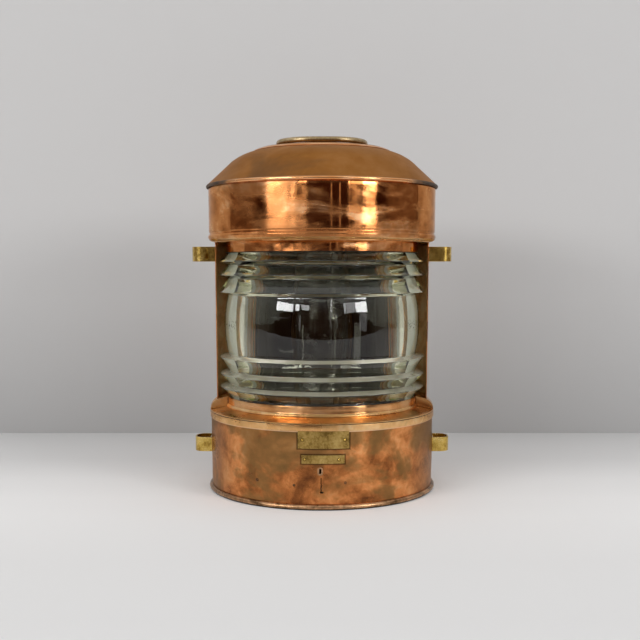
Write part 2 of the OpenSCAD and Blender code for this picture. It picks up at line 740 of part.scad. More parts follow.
base_bead();
base_wire();
base_shell();
base_floor();
base_eyelet();
base_studs();
name_plate();
number_plate();
plate_rivets();
shoulder_ring();
shell_foot();
lens_collar_lower();
lens();
lens_channel_left();
lens_channel_right();
lens_collar_upper();
back_shell();
roof_floor();
flue_tube();
flue_cap();
roof_drum();
roof_rim();
dome();
crown_plate();
handle_ear_left();
handle_ear_right();
ear_rivets();
guide_loop_upper_left();
guide_loop_upper_right();
guide_loop_lower_left();
guide_loop_lower_right();
loop_rivets();
hinge_leaf_upper();
hinge_leaf_lower();
hinge_pin_upper();
hinge_pin_lower();
hasp_staple();
tank_seat();
oil_tank();
burner_collar();
burner_body();
burner_gallery();
flame_cap();
wick_tube();
carrying_handle();
door_panel();
door_leaf_upper();
door_leaf_lower();
door_pull();
hasp_bracket();
hasp_pin();
hasp();
filler_cap();
chimney();
wick();
wick_shaft();
wick_knob();
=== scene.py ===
# The looks of a ship's lantern with a drum lens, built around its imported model
import math

import bmesh
import bpy
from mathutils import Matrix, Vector, noise


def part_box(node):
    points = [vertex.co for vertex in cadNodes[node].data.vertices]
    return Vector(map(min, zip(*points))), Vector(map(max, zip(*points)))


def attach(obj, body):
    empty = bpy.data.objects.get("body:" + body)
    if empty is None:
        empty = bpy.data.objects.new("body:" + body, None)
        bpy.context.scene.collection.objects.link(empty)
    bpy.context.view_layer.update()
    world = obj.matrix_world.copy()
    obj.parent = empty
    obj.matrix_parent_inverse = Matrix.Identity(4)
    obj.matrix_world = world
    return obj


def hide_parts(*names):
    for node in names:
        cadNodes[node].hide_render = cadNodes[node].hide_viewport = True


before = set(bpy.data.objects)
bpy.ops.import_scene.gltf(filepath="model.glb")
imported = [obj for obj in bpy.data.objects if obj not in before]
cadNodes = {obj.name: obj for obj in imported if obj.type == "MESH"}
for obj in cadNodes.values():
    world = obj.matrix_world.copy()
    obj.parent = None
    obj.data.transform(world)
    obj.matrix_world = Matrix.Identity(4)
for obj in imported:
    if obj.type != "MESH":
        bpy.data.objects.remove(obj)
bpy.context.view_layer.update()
mm = 0.001
print("frame loaded:", len(cadNodes), "nodes")


class Wire:
    # a node's output, with Python's own signs for sums on numbers
    def __init__(self, tree, made, out=0):
        self.tree = tree
        self.made = made
        self.socket = made.outputs[out] if made.outputs else None

    def out(self, name):
        return Wire(self.tree, self.made, name)

    def maths(self, operation, first, second):
        return self.tree.node("ShaderNodeMath", {"operation": operation}, {0: first, 1: second})

    def __add__(self, other):
        return self.maths("ADD", self, other)

    __radd__ = __add__

    def __sub__(self, other):
        return self.maths("SUBTRACT", self, other)

    def __rsub__(self, other):
        return self.maths("SUBTRACT", other, self)

    def __mul__(self, other):
        return self.maths("MULTIPLY", self, other)

    __rmul__ = __mul__


class Tree:
    # builds the nodes of a material, the world or a Geometry Nodes group
    def __init__(self, nodeTree):
        self.nodes = nodeTree.nodes
        self.links = nodeTree.links
        self.nodes.clear()

    def node(self, kind, settings=None, sockets=None, out=0):
        made = self.nodes.new(kind)
        for name, value in (settings or {}).items():
            if name == "stops":
                self.setStops(made.color_ramp, value)
            else:
                setattr(made, name, value)
        for name, value in (sockets or {}).items():
            if isinstance(value, Wire):
                self.links.new(value.socket, made.inputs[name])
            else:
                made.inputs[name].default_value = value
        return Wire(self, made, out)

    def setStops(self, ramp, stops):
        first, *middle, last = stops
        ramp.elements[0].position, ramp.elements[0].color = first
        ramp.elements[1].position, ramp.elements[1].color = last
        for position, colour in middle:
            ramp.elements.new(position).color = colour


class Finish(Tree):
    # one material, patterned by object coordinates in metres
    def __init__(self, name):
        self.material = bpy.data.materials.new(name)
        self.material.use_nodes = True
        super().__init__(self.material.node_tree)
        self.place = self.node("ShaderNodeTexCoord", out="Object")

    def grain(self, scale, detail=3.0, rough=0.5, twist=0.0, shift=(0, 0, 0)):
        sized = {"Vector": self.place, "Location": shift, "Scale": scale}
        spot = self.node("ShaderNodeMapping", None, sized)
        sockets = {"Vector": spot, "Scale": 1.0, "Detail": detail, "Roughness": rough,
                   "Distortion": twist}
        return self.node("ShaderNodeTexNoise", None, sockets)

    def step(self, value, low, high):
        sockets = {"Value": value, "From Min": low, "From Max": high}
        return self.node("ShaderNodeMapRange", {"interpolation_type": "SMOOTHSTEP"}, sockets)

    def ramp(self, value, stops):
        return self.node("ShaderNodeValToRGB", {"stops": stops}, {"Fac": value})

    def mix(self, factor, first, second, kind="MIX"):
        settings = {"data_type": "RGBA", "blend_type": kind}
        return self.node("ShaderNodeMix", settings, {0: factor, 6: first, 7: second}, out=2)

    def bump(self, height, depth, under=None):
        sockets = {"Height": height, "Distance": depth}
        if under:
            sockets["Normal"] = under
        return self.node("ShaderNodeBump", None, sockets)

    def end(self, sockets):
        shader = self.node("ShaderNodeBsdfPrincipled", None, sockets)
        self.node("ShaderNodeOutputMaterial", None, {"Surface": shader})
        return self.material


class Group(Tree):
    # a Geometry Nodes group with named inputs, run once on a helper object
    def __init__(self, name, inputs):
        self.group = bpy.data.node_groups.new(name, "GeometryNodeTree")
        super().__init__(self.group)
        sockets = self.group.interface
        sockets.new_socket("Geometry", in_out="INPUT", socket_type="NodeSocketGeometry")
        sockets.new_socket("Geometry", in_out="OUTPUT", socket_type="NodeSocketGeometry")
        for label, kind in inputs.items():
            sockets.new_socket(label, in_out="INPUT", socket_type="NodeSocket" + kind)
        self.given = self.node("NodeGroupInput")

    def end(self, geometry):
        whole = self.node("GeometryNodeRealizeInstances", None, {"Geometry": geometry})
        sockets = {"Geometry": whole, "Material": self.given.out("Material")}
        painted = self.node("GeometryNodeSetMaterial", None, sockets)
        self.node("NodeGroupOutput", None, {"Geometry": painted})

    def run(self, base, values):
        modifier = base.modifiers.new("nodes", "NODES")
        modifier.node_group = self.group
        for item in self.group.interface.items_tree:
            if item.in_out == "INPUT" and item.name in values:
                modifier[item.identifier] = values[item.name]
        graph = bpy.context.evaluated_depsgraph_get()
        data = bpy.data.meshes.new_from_object(base.evaluated_get(graph))
        base.modifiers.remove(modifier)
        return data


def grey(level):
    return (level, level, level, 1.0)


def colour(red, green, blue):
    return (red, green, blue, 1.0)


# Copper, brass and the other finishes

baseCopper = {
    "patch": 17.0,             # blotches for each metre
    "fine": 78.0,
    "tones": [(0.34, colour(0.16, 0.056, 0.020)), (0.43, colour(0.33, 0.115, 0.035)),
              (0.50, colour(0.54, 0.195, 0.060)), (0.57, colour(0.74, 0.300, 0.100)),
              (0.68, colour(0.88, 0.450, 0.190))],
    "stain": colour(0.23, 0.135, 0.048),
    "stained": (0.47, 0.60),
    "stretch": 1.2,            # how much finer the blotches are upright than round the drum
    "shine": (0.24, 0.46),
    "haze": (0.38, 0.62),      # how sharply shining and hazy metal part
    "brushed": 0.00001,
    "waves": 0.0004,
    "turned": 0.0,             # how far reflections smear upright, across the turning lines
    "edge": colour(0.95, 0.85, 0.75),
    "shadedPlates": ("name_plate", "number_plate"),
    "sides": 0.55,             # how much darker the drum's sides turn, beyond sidesX
}
sidesX = (84 * mm, 124 * mm)
baseSideTone = colour(0.20, 0.125, 0.075)
skirtHighlightBand = (80.7 * mm, 82.1 * mm)      # painted highlight: a bright line on the base just under the skirt's edge
skirtHighlightTone = colour(0.95, 0.62, 0.36)
drumCopper = {
    "patch": 14.0,
    "fine": 60.0,
    "tones": [(0.36, colour(0.32, 0.105, 0.030)), (0.45, colour(0.52, 0.190, 0.058)),
              (0.54, colour(0.69, 0.290, 0.102)), (0.62, colour(0.86, 0.48, 0.24))],
    "stain": colour(0.38, 0.15, 0.050),
    "stained": (0.52, 0.62),
    "stretch": 3.0,
    "shine": (0.09, 0.30),
    "haze": (0.44, 0.56),
    "brushed": 0.000003,
    "waves": 0.00007,
    "turned": 0.95,
    "edge": colour(0.90, 0.75, 0.60),
    "shadedPlates": (),
    "sides": 0.0,
}
collarCopper = {
    "patch": 16.0,
    "fine": 90.0,
    "tones": [(0.34, colour(0.58, 0.25, 0.080)), (0.48, colour(0.76, 0.39, 0.160)),
              (0.66, colour(0.90, 0.56, 0.30))],
    "stain": colour(0.48, 0.21, 0.08),
    "stained": (0.58, 0.74),
    "stretch": 2.4,
    "shine": (0.13, 0.26),
    "haze": (0.38, 0.62),
    "brushed": 0.000003,
    "waves": 0.00005,
    "turned": 0.90,
    "edge": colour(0.90, 0.78, 0.65),
    "shadedPlates": (),
    "sides": 0.0,
}
domeCopper = {
    "patch": 12.0,
    "fine": 55.0,
    "tones": [(0.30, colour(0.26, 0.100, 0.023)), (0.48, colour(0.37, 0.154, 0.035)),
              (0.70, colour(0.46, 0.22, 0.075))],
    "stain": colour(0.21, 0.105, 0.044),
    "stained": (0.50, 0.72),
    "stretch": 1.2,
    "shine": (0.42, 0.60),
    "haze": (0.38, 0.62),
    "brushed": 0.000008,
    "waves": 0.0003,
    "turned": 0.0,
    "edge": colour(0.95, 0.85, 0.75),
    "shadedPlates": (),
    "sides": 0.0,
}
shoulderCopper = {
    "patch": 20.0,
    "fine": 90.0,
    "tones": [(0.34, colour(0.62, 0.310, 0.115)), (0.46, colour(0.78, 0.430, 0.170)),
              (0.56, colour(0.88, 0.540, 0.245)), (0.68, colour(0.95, 0.68, 0.38))],
    "stain": colour(0.56, 0.34, 0.135),
    "stained": (0.54, 0.70),
    "stretch": 1.2,
    "shine": (0.20, 0.36),
    "haze": (0.40, 0.60),
    "brushed": 0.000005,
    "waves": 0.0001,
    "turned": 0.0,
    "edge": colour(0.95, 0.85, 0.75),
    "shadedPlates": (),
    "sides": 0.0,
}
shellCopper = {
    "patch": 15.0,
    "fine": 70.0,
    "tones": [(0.30, colour(0.20, 0.075, 0.025)), (0.46, colour(0.42, 0.165, 0.055)),
              (0.58, colour(0.60, 0.26, 0.09)), (0.74, colour(0.74, 0.38, 0.17))],
    "stain": colour(0.20, 0.10, 0.045),
    "stained": (0.50, 0.68),
    "stretch": 1.2,
    "shine": (0.22, 0.46),
    "haze": (0.38, 0.62),
    "brushed": 0.00001,
    "waves": 0.0004,
    "turned": 0.0,
    "edge": colour(0.95, 0.85, 0.75),
    "shadedPlates": (),
    "sides": 0.0,
}


def plateShadeRound(finish, node):
    # painted shadow: a dark band on the sheet behind each plate, along the plate's edges
    low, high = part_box(node)
    places = finish.node("ShaderNodeSeparateXYZ", None, {0: finish.place})
    gaps = []
    for axis, i in (("X", 0), ("Z", 2)):
        offset = places.out(axis) - (low[i] + high[i]) / 2
        gap = finish.node("ShaderNodeMath", {"operation": "ABSOLUTE"}, {0: offset})
        gaps.append(gap - (high[i] - low[i]) / 2)
    gap = gaps[0].maths("MAXIMUM", gaps[0], gaps[1])
    facing = finish.step(places.out("Y"), 0.0, -10 * mm)
    return (1 - finish.step(gap, 0.4 * mm, 2.2 * mm)) * facing


def copperFinish(name, look):
    finish = Finish(name)
    patch = look["patch"]
    fine = look["fine"]
    blotches = finish.grain((patch, patch, patch * look["stretch"]), 5.0, 0.58, 0.9)
    specks = finish.grain((fine, fine, fine), 4.0, 0.62, 0.4, (5, 2, 9))
    stains = finish.grain((patch * 0.8, patch * 0.8, patch), 4.0, 0.6, 0.5, (1, 8, 3))
    wiped = finish.grain((24, 24, 420), 2.0, 0.5, 0.2)
    tone = finish.ramp(blotches * 0.62 + specks * 0.38, look["tones"])
    stained = finish.step(stains, *look["stained"])
    base = finish.mix(stained * 0.75, tone, look["stain"])
    # painted shadow round each plate, a near-black brown on the sheet
    for node in look["shadedPlates"]:
        base = finish.mix(plateShadeRound(finish, node) * 0.85, base, colour(0.05, 0.028, 0.012))
    if look["sides"]:
        # the drum turns darker and olive towards its sides, beyond sidesX
        places = finish.node("ShaderNodeSeparateXYZ", None, {0: finish.place})
        across = finish.node("ShaderNodeMath", {"operation": "ABSOLUTE"}, {0: places.out("X")})
        base = finish.mix(finish.step(across, *sidesX) * look["sides"], base, baseSideTone)
        # painted highlight just under the skirt's edge
        low, high = skirtHighlightBand
        line = (finish.step(places.out("Z"), low, low + 0.4 * mm)
                * (1 - finish.step(places.out("Z"), high - 0.2 * mm, high)))
        base = finish.mix(line * 0.8, base, skirtHighlightTone)
    dull, matt = look["shine"]
    haze = finish.step(blotches * 0.5 + stains * 0.5, *look["haze"])
    rough = haze * (matt - dull) + wiped * 0.06 + dull - 0.03
    waves = finish.bump(finish.grain((22, 22, 14), 1.0, 0.4), look["waves"])
    brushed = finish.bump(wiped + specks * 0.6, look["brushed"], waves)
    return finish.end({"Base Color": base, "Metallic": 1.0, "Roughness": rough,
                       "Normal": brushed, "Specular Tint": look["edge"],
                       "Anisotropic": look["turned"], "Anisotropic Rotation": 0.25})


rimLook = {
    "bright": [(0.36, colour(0.70, 0.30, 0.10)), (0.62, colour(0.88, 0.48, 0.24))],
    "dull": [(0.36, colour(0.045, 0.028, 0.018)), (0.62, colour(0.12, 0.078, 0.050))],
    "sideX": (82 * mm, 104 * mm),      # bright in front, darker and duller beyond
}


def rimFinish(look):
    finish = Finish("rimCopper")
    patches = finish.grain((34, 34, 90), 4.0, 0.6, 0.5)
    x = finish.node("ShaderNodeSeparateXYZ", None, {0: finish.place}).out("X")
    offset = finish.node("ShaderNodeMath", {"operation": "ABSOLUTE"}, {0: x})
    rimSideDulling = finish.step(offset + patches * 0.04 - 0.02, *look["sideX"])
    tone = finish.mix(rimSideDulling, finish.ramp(patches, look["bright"]),
                      finish.ramp(patches, look["dull"]))
    return finish.end({"Base Color": tone, "Metallic": 1 - rimSideDulling * 0.85,
                       "Roughness": rimSideDulling * 0.30 + patches * 0.2 + 0.10,
                       "Specular IOR Level": 0.1})


brassLooks = {
    "plateBrass": {"dark": colour(0.20, 0.12, 0.030), "main": colour(0.43, 0.28, 0.080),
                   "light": colour(0.60, 0.42, 0.15), "shine": 0.40, "grain": 0.00006,
                   "ringed": True},
    "strapBrass": {"dark": colour(0.30, 0.17, 0.03), "main": colour(0.62, 0.42, 0.10),
                   "light": colour(0.78, 0.58, 0.22), "shine": 0.24, "grain": 0.00001,
                   "ringed": False},
    "handleBrass": {"dark": colour(0.26, 0.170, 0.075), "main": colour(0.44, 0.32, 0.17),
                    "light": colour(0.62, 0.50, 0.30), "shine": 0.34, "grain": 0.000005,
                    "ringed": False},
    # the lamp's brass is near black, painted shade for the dark inside
    "shadedLampBrass": {"dark": colour(0.010, 0.006, 0.003), "main": colour(0.026, 0.016, 0.007),
                  "light": colour(0.055, 0.036, 0.014), "shine": 0.45, "grain": 0.00006,
                  "ringed": False},
}


def rivetRings(finish):
    # a dark ring round each rivet of the two plates
    places = finish.node("ShaderNodeSeparateXYZ", None, {0: finish.place})
    flat = finish.node("ShaderNodeCombineXYZ", None, {0: places.out("X"), 2: places.out("Z")})
    rings = 0
    for x, z, r in plateRivetSpots:
        gap = finish.node("ShaderNodeVectorMath", {"operation": "DISTANCE"},
                          {0: flat, 1: (x, 0, z)}, out="Value")
        ring = finish.step(gap, r * 0.7, r * 0.95) * (1 - finish.step(gap, r, r + 0.9 * mm))
        rings = ring + rings
    return rings


plateRivetSpots = [(-19.9 * mm, 73.1 * mm, 1.5 * mm), (23.4 * mm, 73.1 * mm, 1.5 * mm),
                   (-17.5 * mm, 52.95 * mm, 1.3 * mm), (17.5 * mm, 52.95 * mm, 1.3 * mm)]


def brassFinish(name, look):
    finish = Finish(name)
    patches = finish.grain((60, 60, 60), 4.0, 0.6, 0.5)
    specks = finish.grain((420, 420, 420), 3.0, 0.6, 0.0, (4, 4, 4))
    tone = finish.ramp(patches * 0.6 + specks * 0.4,
                       [(0.36, look["dark"]), (0.50, look["main"]), (0.66, look["light"])])
    if look["ringed"]:
        tone = finish.mix(rivetRings(finish) * 0.85, tone, colour(0.05, 0.03, 0.012))
    rough = patches * 0.22 + specks * 0.10 + look["shine"] - 0.16
    bumps = finish.bump(specks, look["grain"])
    return finish.end({"Base Color": tone, "Metallic": 1.0, "Roughness": rough,
                       "Normal": bumps})


plainMetals = {
    # the flue's tinned sheet is near black, painted shade for the dark inside
    "shadedTinnedSheet": {"tones": (colour(0.020, 0.016, 0.012), colour(0.055, 0.045, 0.034)),
                    "shine": 0.55},
    "steelPin": {"tones": (colour(0.16, 0.15, 0.14), colour(0.34, 0.32, 0.30)), "shine": 0.38},
    "beadCopper": {"tones": (colour(0.13, 0.070, 0.032), colour(0.66, 0.38, 0.20)),
                   "shine": 0.32},
    "darkCopper": {"tones": (colour(0.07, 0.035, 0.016), colour(0.26, 0.13, 0.060)),
                   "shine": 0.38},
}
footContactShade = (0.9 * mm, 2.4 * mm)       # painted contact shadow: the bead turns near black at its foot, against the floor


def plainMetalFinish(name, look):
    finish = Finish(name)
    patches = finish.grain((45, 45, 70), 4.0, 0.6, 0.6)
    specks = finish.grain((300, 300, 300), 2.0, 0.5)
    dark, light = look["tones"]
    tone = finish.ramp(patches * 0.7 + specks * 0.3, [(0.36, dark), (0.64, light)])
    if name == "beadCopper":
        # painted contact shadow along the bead's underside
        height = finish.node("ShaderNodeSeparateXYZ", None, {0: finish.place}).out("Z")
        tone = finish.mix(finish.step(height, *footContactShade), colour(0.012, 0.008, 0.005), tone)
    rough = patches * 0.24 + look["shine"] - 0.12
    return finish.end({"Base Color": tone, "Metallic": 1.0, "Roughness": rough,
                       "Normal": finish.bump(specks, 0.00004)})


shadeBlackLook = {
    "black": colour(0.004, 0.0035, 0.003),
    "brown": colour(0.014, 0.010, 0.007),
    "copper": [(0.36, colour(0.70, 0.38, 0.17)), (0.50, colour(0.90, 0.53, 0.27)),
               (0.66, colour(0.97, 0.70, 0.45))],
    "frontY": (50 * mm, 80 * mm),       # where bare copper gives way to the black painted shade
}


def shadeBlackFinish(name, look, bareFront):
    # matt black as painted shade for the dark inside; the rear shell's front edges stay bare copper
    finish = Finish(name)
    patches = finish.grain((40, 40, 60), 4.0, 0.6, 0.5)
    black = finish.ramp(patches, [(0.35, look["black"]), (0.70, look["brown"])])
    rough = patches * 0.3 + 0.42
    if not bareFront:
        return finish.end({"Base Color": black, "Roughness": rough, "Specular IOR Level": 0.2})
    depth = finish.node("ShaderNodeSeparateXYZ", None, {0: finish.place}).out("Y")
    painted = finish.step(depth + patches * 0.02 - 0.01, *look["frontY"])
    bare = finish.ramp(patches, look["copper"])
    return finish.end({"Base Color": finish.mix(painted, bare, black), "Roughness": rough,
                       "Specular IOR Level": 0.2})


creamTones = (colour(0.50, 0.46, 0.36), colour(0.84, 0.80, 0.68))


def creamFinish(tones):
    # old light paint on the floors inside, which throws the lamp's light about
    finish = Finish("creamPaint")
    patches = finish.grain((40, 40, 60), 4.0, 0.6, 0.5)
    dirty, clean = tones
    tone = finish.ramp(patches, [(0.34, dirty), (0.52, clean)])
    return finish.end({"Base Color": tone, "Roughness": 0.55})


enamelLook = {
    "white": colour(0.90, 0.94, 0.97),
    "dull": colour(0.80, 0.84, 0.86),
    "chip": colour(0.05, 0.06, 0.05),
    "chipZ": (171 * mm, 184 * mm, 197 * mm),
}


def enamelFinish(look):
    # the white coat on the glass that limits the lantern's arc, with a few chips
    finish = Finish("whiteEnamel")
    cloud = finish.grain((60, 60, 40), 3.0, 0.5)
    coat = finish.ramp(cloud, [(0.35, look["dull"]), (0.55, look["white"])])
    height = finish.node("ShaderNodeSeparateXYZ", None, {0: finish.place}).out("Z")
    low, middle, high = look["chipZ"]
    near = finish.step(height, low, middle) * (1 - finish.step(height, middle, high))
    specks = finish.grain((620, 620, 620), 1.0, 0.5)
    chipped = finish.step(specks + near * 0.16, 0.74, 0.78) * near
    tone = finish.mix(chipped, coat, look["chip"])
    return finish.end({"Base Color": tone, "Roughness": 0.6})


lensLook = {
    "tint": colour(0.985, 0.995, 0.97),
    "depthTint": colour(0.94, 0.95, 0.45),
    "depth": 9.0,              # how fast the glass turns green, for each metre
    "seamX": 9.3 * mm,         # the mould's joint line
    "seamHalf": 0.3 * mm,
    "ripple": 0.00012,
}


def lensFinish(look):
    finish = Finish("lensGlass")
    x = finish.node("ShaderNodeSeparateXYZ", None, {0: finish.place}).out("X")
    offset = finish.node("ShaderNodeMath", {"operation": "ABSOLUTE"}, {0: x - look["seamX"]})
    seam = 1 - finish.step(offset, 0.0, look["seamHalf"])
    ripples = finish.grain((30, 30, 90), 2.0, 0.5)
    waves = finish.bump(ripples, look["ripple"])
    lined = finish.bump(seam, 0.00008, waves)
    grime = finish.step(finish.grain((120, 120, 160), 4.0, 0.6), 0.55, 0.8)
    glass = finish.node("ShaderNodeBsdfPrincipled", None,
                        {"Base Color": look["tint"], "Roughness": grime * 0.05 + 0.01,
                         "IOR": 1.52, "Transmission Weight": 1.0, "Normal": lined})
    inside = finish.node("ShaderNodeVolumeAbsorption", None,
                         {"Color": look["depthTint"], "Density": look["depth"]})
    finish.node("ShaderNodeOutputMaterial", None, {"Surface": glass, "Volume": inside})
    return finish.material


def dustAndSheenFinish():
    # pale dust on the upward faces of the lower prisms, which also stands for a painted reflection
    # of the ceiling
    finish = Finish("dustAndSheenGlass")
    cloud = finish.grain((60, 60, 60), 3.0, 0.5)
    tone = finish.ramp(cloud, [(0.35, colour(0.80, 0.76, 0.55)), (0.60, colour(0.97, 0.94, 0.76))])
    return finish.end({"Base Color": tone, "Roughness": 0.16, "IOR": 1.52,
                       "Transmission Weight": 0.62})


def chimneyFinish():
    # dark smoked glass: soot, and painted shade for the dark inside
    finish = Finish("chimneyGlass")
    soot = finish.step(finish.grain((40, 40, 60), 4.0, 0.6), 0.5, 0.75)
    sootAndShade = finish.mix(soot, colour(0.06, 0.050, 0.040), colour(0.012, 0.010, 0.008))
    return finish.end({"Base Color": sootAndShade, "Roughness": soot * 0.3 + 0.12,
                       "IOR": 1.5, "Transmission Weight": 0.9, "Specular IOR Level": 0.25})


def cottonFinish():
    finish = Finish("wickCotton")
    plait = finish.grain((500, 500, 260), 2.0, 0.5)
    tone = finish.ramp(plait, [(0.35, colour(0.25, 0.21, 0.15)), (0.65, colour(0.55, 0.49, 0.38))])
    return finish.end({"Base Color": tone, "Roughness": 0.9, "Normal": finish.bump(plait, 0.0003)})


finishes = {
    "baseCopper": copperFinish("baseCopper", baseCopper),
    "drumCopper": copperFinish("drumCopper", drumCopper),
    "collarCopper": copperFinish("collarCopper", collarCopper),
    "domeCopper": copperFinish("domeCopper", domeCopper),
    "shoulderCopper": copperFinish("shoulderCopper", shoulderCopper),
    "shellCopper": copperFinish("shellCopper", shellCopper),
    "blackShade": shadeBlackFinish("blackShade", shadeBlackLook, False),
    "bareEdgeBlackShade": shadeBlackFinish("bareEdgeBlackShade", shadeBlackLook, True),
    "rimCopper": rimFinish(rimLook),
    "creamPaint": creamFinish(creamTones),
    "whiteEnamel": enamelFinish(enamelLook),
    "lensGlass": lensFinish(lensLook),
    "dustAndSheenGlass": dustAndSheenFinish(),
    "chimneyGlass": chimneyFinish(),
    "wickCotton": cottonFinish(),
}
for finishName, finishLook in brassLooks.items():
    finishes[finishName] = brassFinish(finishName, finishLook)
for finishName, finishLook in plainMetals.items():
    finishes[finishName] = plainMetalFinish(finishName, finishLook)
print("finishes made:", len(finishes))


# Turned and swept shapes, in metres

def fillet(outline, radius, steps=3):
    # rounds the corners of a closed outline; a point's third number is its own radius
    made = []
    for i, point in enumerate(outline):
        corner = Vector(point[:2])
        back = Vector(outline[i - 1][:2]) - corner
        ahead = Vector(outline[(i + 1) % len(outline)][:2]) - corner
        wanted = point[2] if len(point) > 2 else radius
        turn = back.angle(ahead)
        if wanted <= 0 or turn > math.radians(176):
            made.append(tuple(corner))
            continue
        cut = min(wanted / math.tan(turn / 2), 0.45 * back.length, 0.45 * ahead.length)
        start = corner + back.normalized() * cut
        end = corner + ahead.normalized() * cut
        for step in range(steps + 1):
            t = step / steps
            made.append(tuple((1 - t) ** 2 * start + 2 * t * (1 - t) * corner + t * t * end))
    return made


def splitLong(outline, limit):
    # adds points on the long straight runs of a closed outline
    made = []
    for i, point in enumerate(outline):
        here = Vector(point)
        there = Vector(outline[(i + 1) % len(outline)])
        parts = max(1, math.ceil((there - here).length / limit))
        made += [tuple(here.lerp(there, part / parts)) for part in range(parts)]
    return made


def arcPoints(centre, radius, start, end, steps):
    # angles are counted from straight up, as in the part's source
    turns = [math.radians(start + (end - start) * i / steps) for i in range(steps + 1)]
    return [(centre[0] + radius * math.sin(a), centre[1] + radius * math.cos(a)) for a in turns]


def lathe(outline, start=90.0, sweep=360.0, steps=288):
    # turns a closed outline of radius and height about the lantern's axis
    full = sweep > 359
    columns = steps if full else steps + 1
    mesh = bmesh.new()
    rings = []
    for column in range(columns):
        angle = math.radians(start + sweep * column / steps)
        rings.append([mesh.verts.new((r * math.cos(angle), r * math.sin(angle), z))
                      for r, z in outline])
    for column in range(steps):
        here = rings[column]
        there = rings[(column + 1) % columns]
        for i in range(len(outline)):
            j = (i + 1) % len(outline)
            mesh.faces.new((here[i], there[i], there[j], here[j]))
    if not full:
        mesh.faces.new(rings[0])
        mesh.faces.new(list(reversed(rings[-1])))
    bmesh.ops.remove_doubles(mesh, verts=mesh.verts, dist=1e-6)
    loose = [edge for edge in mesh.edges if not edge.link_faces]
    bmesh.ops.delete(mesh, geom=loose, context="EDGES")
    bmesh.ops.recalc_face_normals(mesh, faces=mesh.faces)
    return mesh


def dent(mesh, depth, size, seed):
    # beats the sheet gently in and out
    for vert in mesh.verts:
        outward = Vector((vert.co.x, vert.co.y, 0))
        if outward.length > mm:
            bend = noise.noise(vert.co / size + Vector((seed, 0, 0)))
            vert.co += outward.normalized() * depth * bend


def toObject(name, mesh):
    data = mesh
    if isinstance(mesh, bmesh.types.BMesh):
        data = bpy.data.meshes.new(name)
        mesh.to_mesh(data)
        mesh.free()
    made = bpy.data.objects.new(name, data)
    bpy.context.scene.collection.objects.link(made)
    return made


def addPiece(name, mesh, finish, body="housing", replaced=(), sharp=35):
    # a finished piece that rides on a body and stands for its nodes
    piece = toObject(name, mesh)
    piece.data.materials.clear()
    piece.data.materials.append(finishes[finish])
    piece.data.shade_smooth()
    piece.data.set_sharp_from_angle(angle=math.radians(sharp))
    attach(piece, body)
    if replaced:
        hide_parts(*replaced)
    return piece


def coatInside(piece, finish):
    # gives the faces that look towards the lantern's axis another finish
    piece.data.materials.append(finishes[finish])
    for face in piece.data.polygons:
        outward = Vector((face.center.x, face.center.y, 0)).normalized()
        if face.normal.dot(outward) < -0.3:
            face.material_index = 1


def reach(node):
    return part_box(node)[1].x


def low(node):
    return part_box(node)[0].z


def high(node):
    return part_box(node)[1].z


sheet = 1.2 * mm
front = -90.0
rear = 90.0
drumR = reach("base_shell")
collarR = reach("lens_collar_upper")
skirtR = reach("shoulder_ring")
shellTop = high("back_shell")
shellFrom = -10.4              # where the rear shell's right edge stands, in degrees

pierceGroup = Group("piercedWall", {"Cutter": "Object", "Places": "Object", "Material": "Material"})


def buildPierceGroup(group):
    settings = {"transform_space": "ORIGINAL"}
    places = group.node("GeometryNodeObjectInfo", settings, {"Object": group.given.out("Places")})
    cutter = group.node("GeometryNodeObjectInfo", settings, {"Object": group.given.out("Cutter")})
    turn = group.node("GeometryNodeInputNamedAttribute", {"data_type": "FLOAT_VECTOR"},
                      {"Name": "turn"}, out="Attribute")
    spread = group.node("GeometryNodeInstanceOnPoints", None,
                        {"Points": places.out("Geometry"), "Instance": cutter.out("Geometry"),
                         "Rotation": turn})
    cutters = group.node("GeometryNodeRealizeInstances", None, {"Geometry": spread})
    cut = group.node("GeometryNodeMeshBoolean", {"operation": "DIFFERENCE", "solver": "EXACT"},
                     {"Mesh 1": group.given.out("Geometry"), "Mesh 2": cutters})
    group.end(cut)


buildPierceGroup(pierceGroup)

rivetGroup = Group("rivetRow", {"Head": "Object", "Material": "Material"})


def buildRivetGroup(group):
    head = group.node("GeometryNodeObjectInfo", {"transform_space": "ORIGINAL"},
                      {"Object": group.given.out("Head")})
    turn = group.node("GeometryNodeInputNamedAttribute", {"data_type": "FLOAT_VECTOR"},
                      {"Name": "turn"}, out="Attribute")
    size = group.node("GeometryNodeInputNamedAttribute", {"data_type": "FLOAT"},
                      {"Name": "size"}, out="Attribute")
    spread = group.node("GeometryNodeInstanceOnPoints", None,
                        {"Points": group.given.out("Geometry"),
                         "Instance": head.out("Geometry"), "Rotation": turn, "Scale": size})
    group.end(spread)


buildRivetGroup(rivetGroup)

sweepGroup = Group("sweptOutline", {"Radius": "Float", "Start": "Float", "Sweep": "Float",
                                    "Steps": "Int", "Material": "Material"})


def buildSweepGroup(group):
    outline = group.node("GeometryNodeMeshToCurve", None, {"Mesh": group.given.out("Geometry")})
    path = group.node("GeometryNodeCurveArc", {"mode": "RADIUS"},
                      {"Resolution": group.given.out("Steps"), "Radius": group.given.out("Radius"),
                       "Start Angle": group.given.out("Start"),
                       "Sweep Angle": group.given.out("Sweep")})
    skin = group.node("GeometryNodeCurveToMesh", None,
                      {"Curve": path, "Profile Curve": outline, "Fill Caps": True})
    group.end(skin)


buildSweepGroup(sweepGroup)

rodGroup = Group("bentRod", {"Radius": "Float", "Sides": "Int", "Material": "Material"})


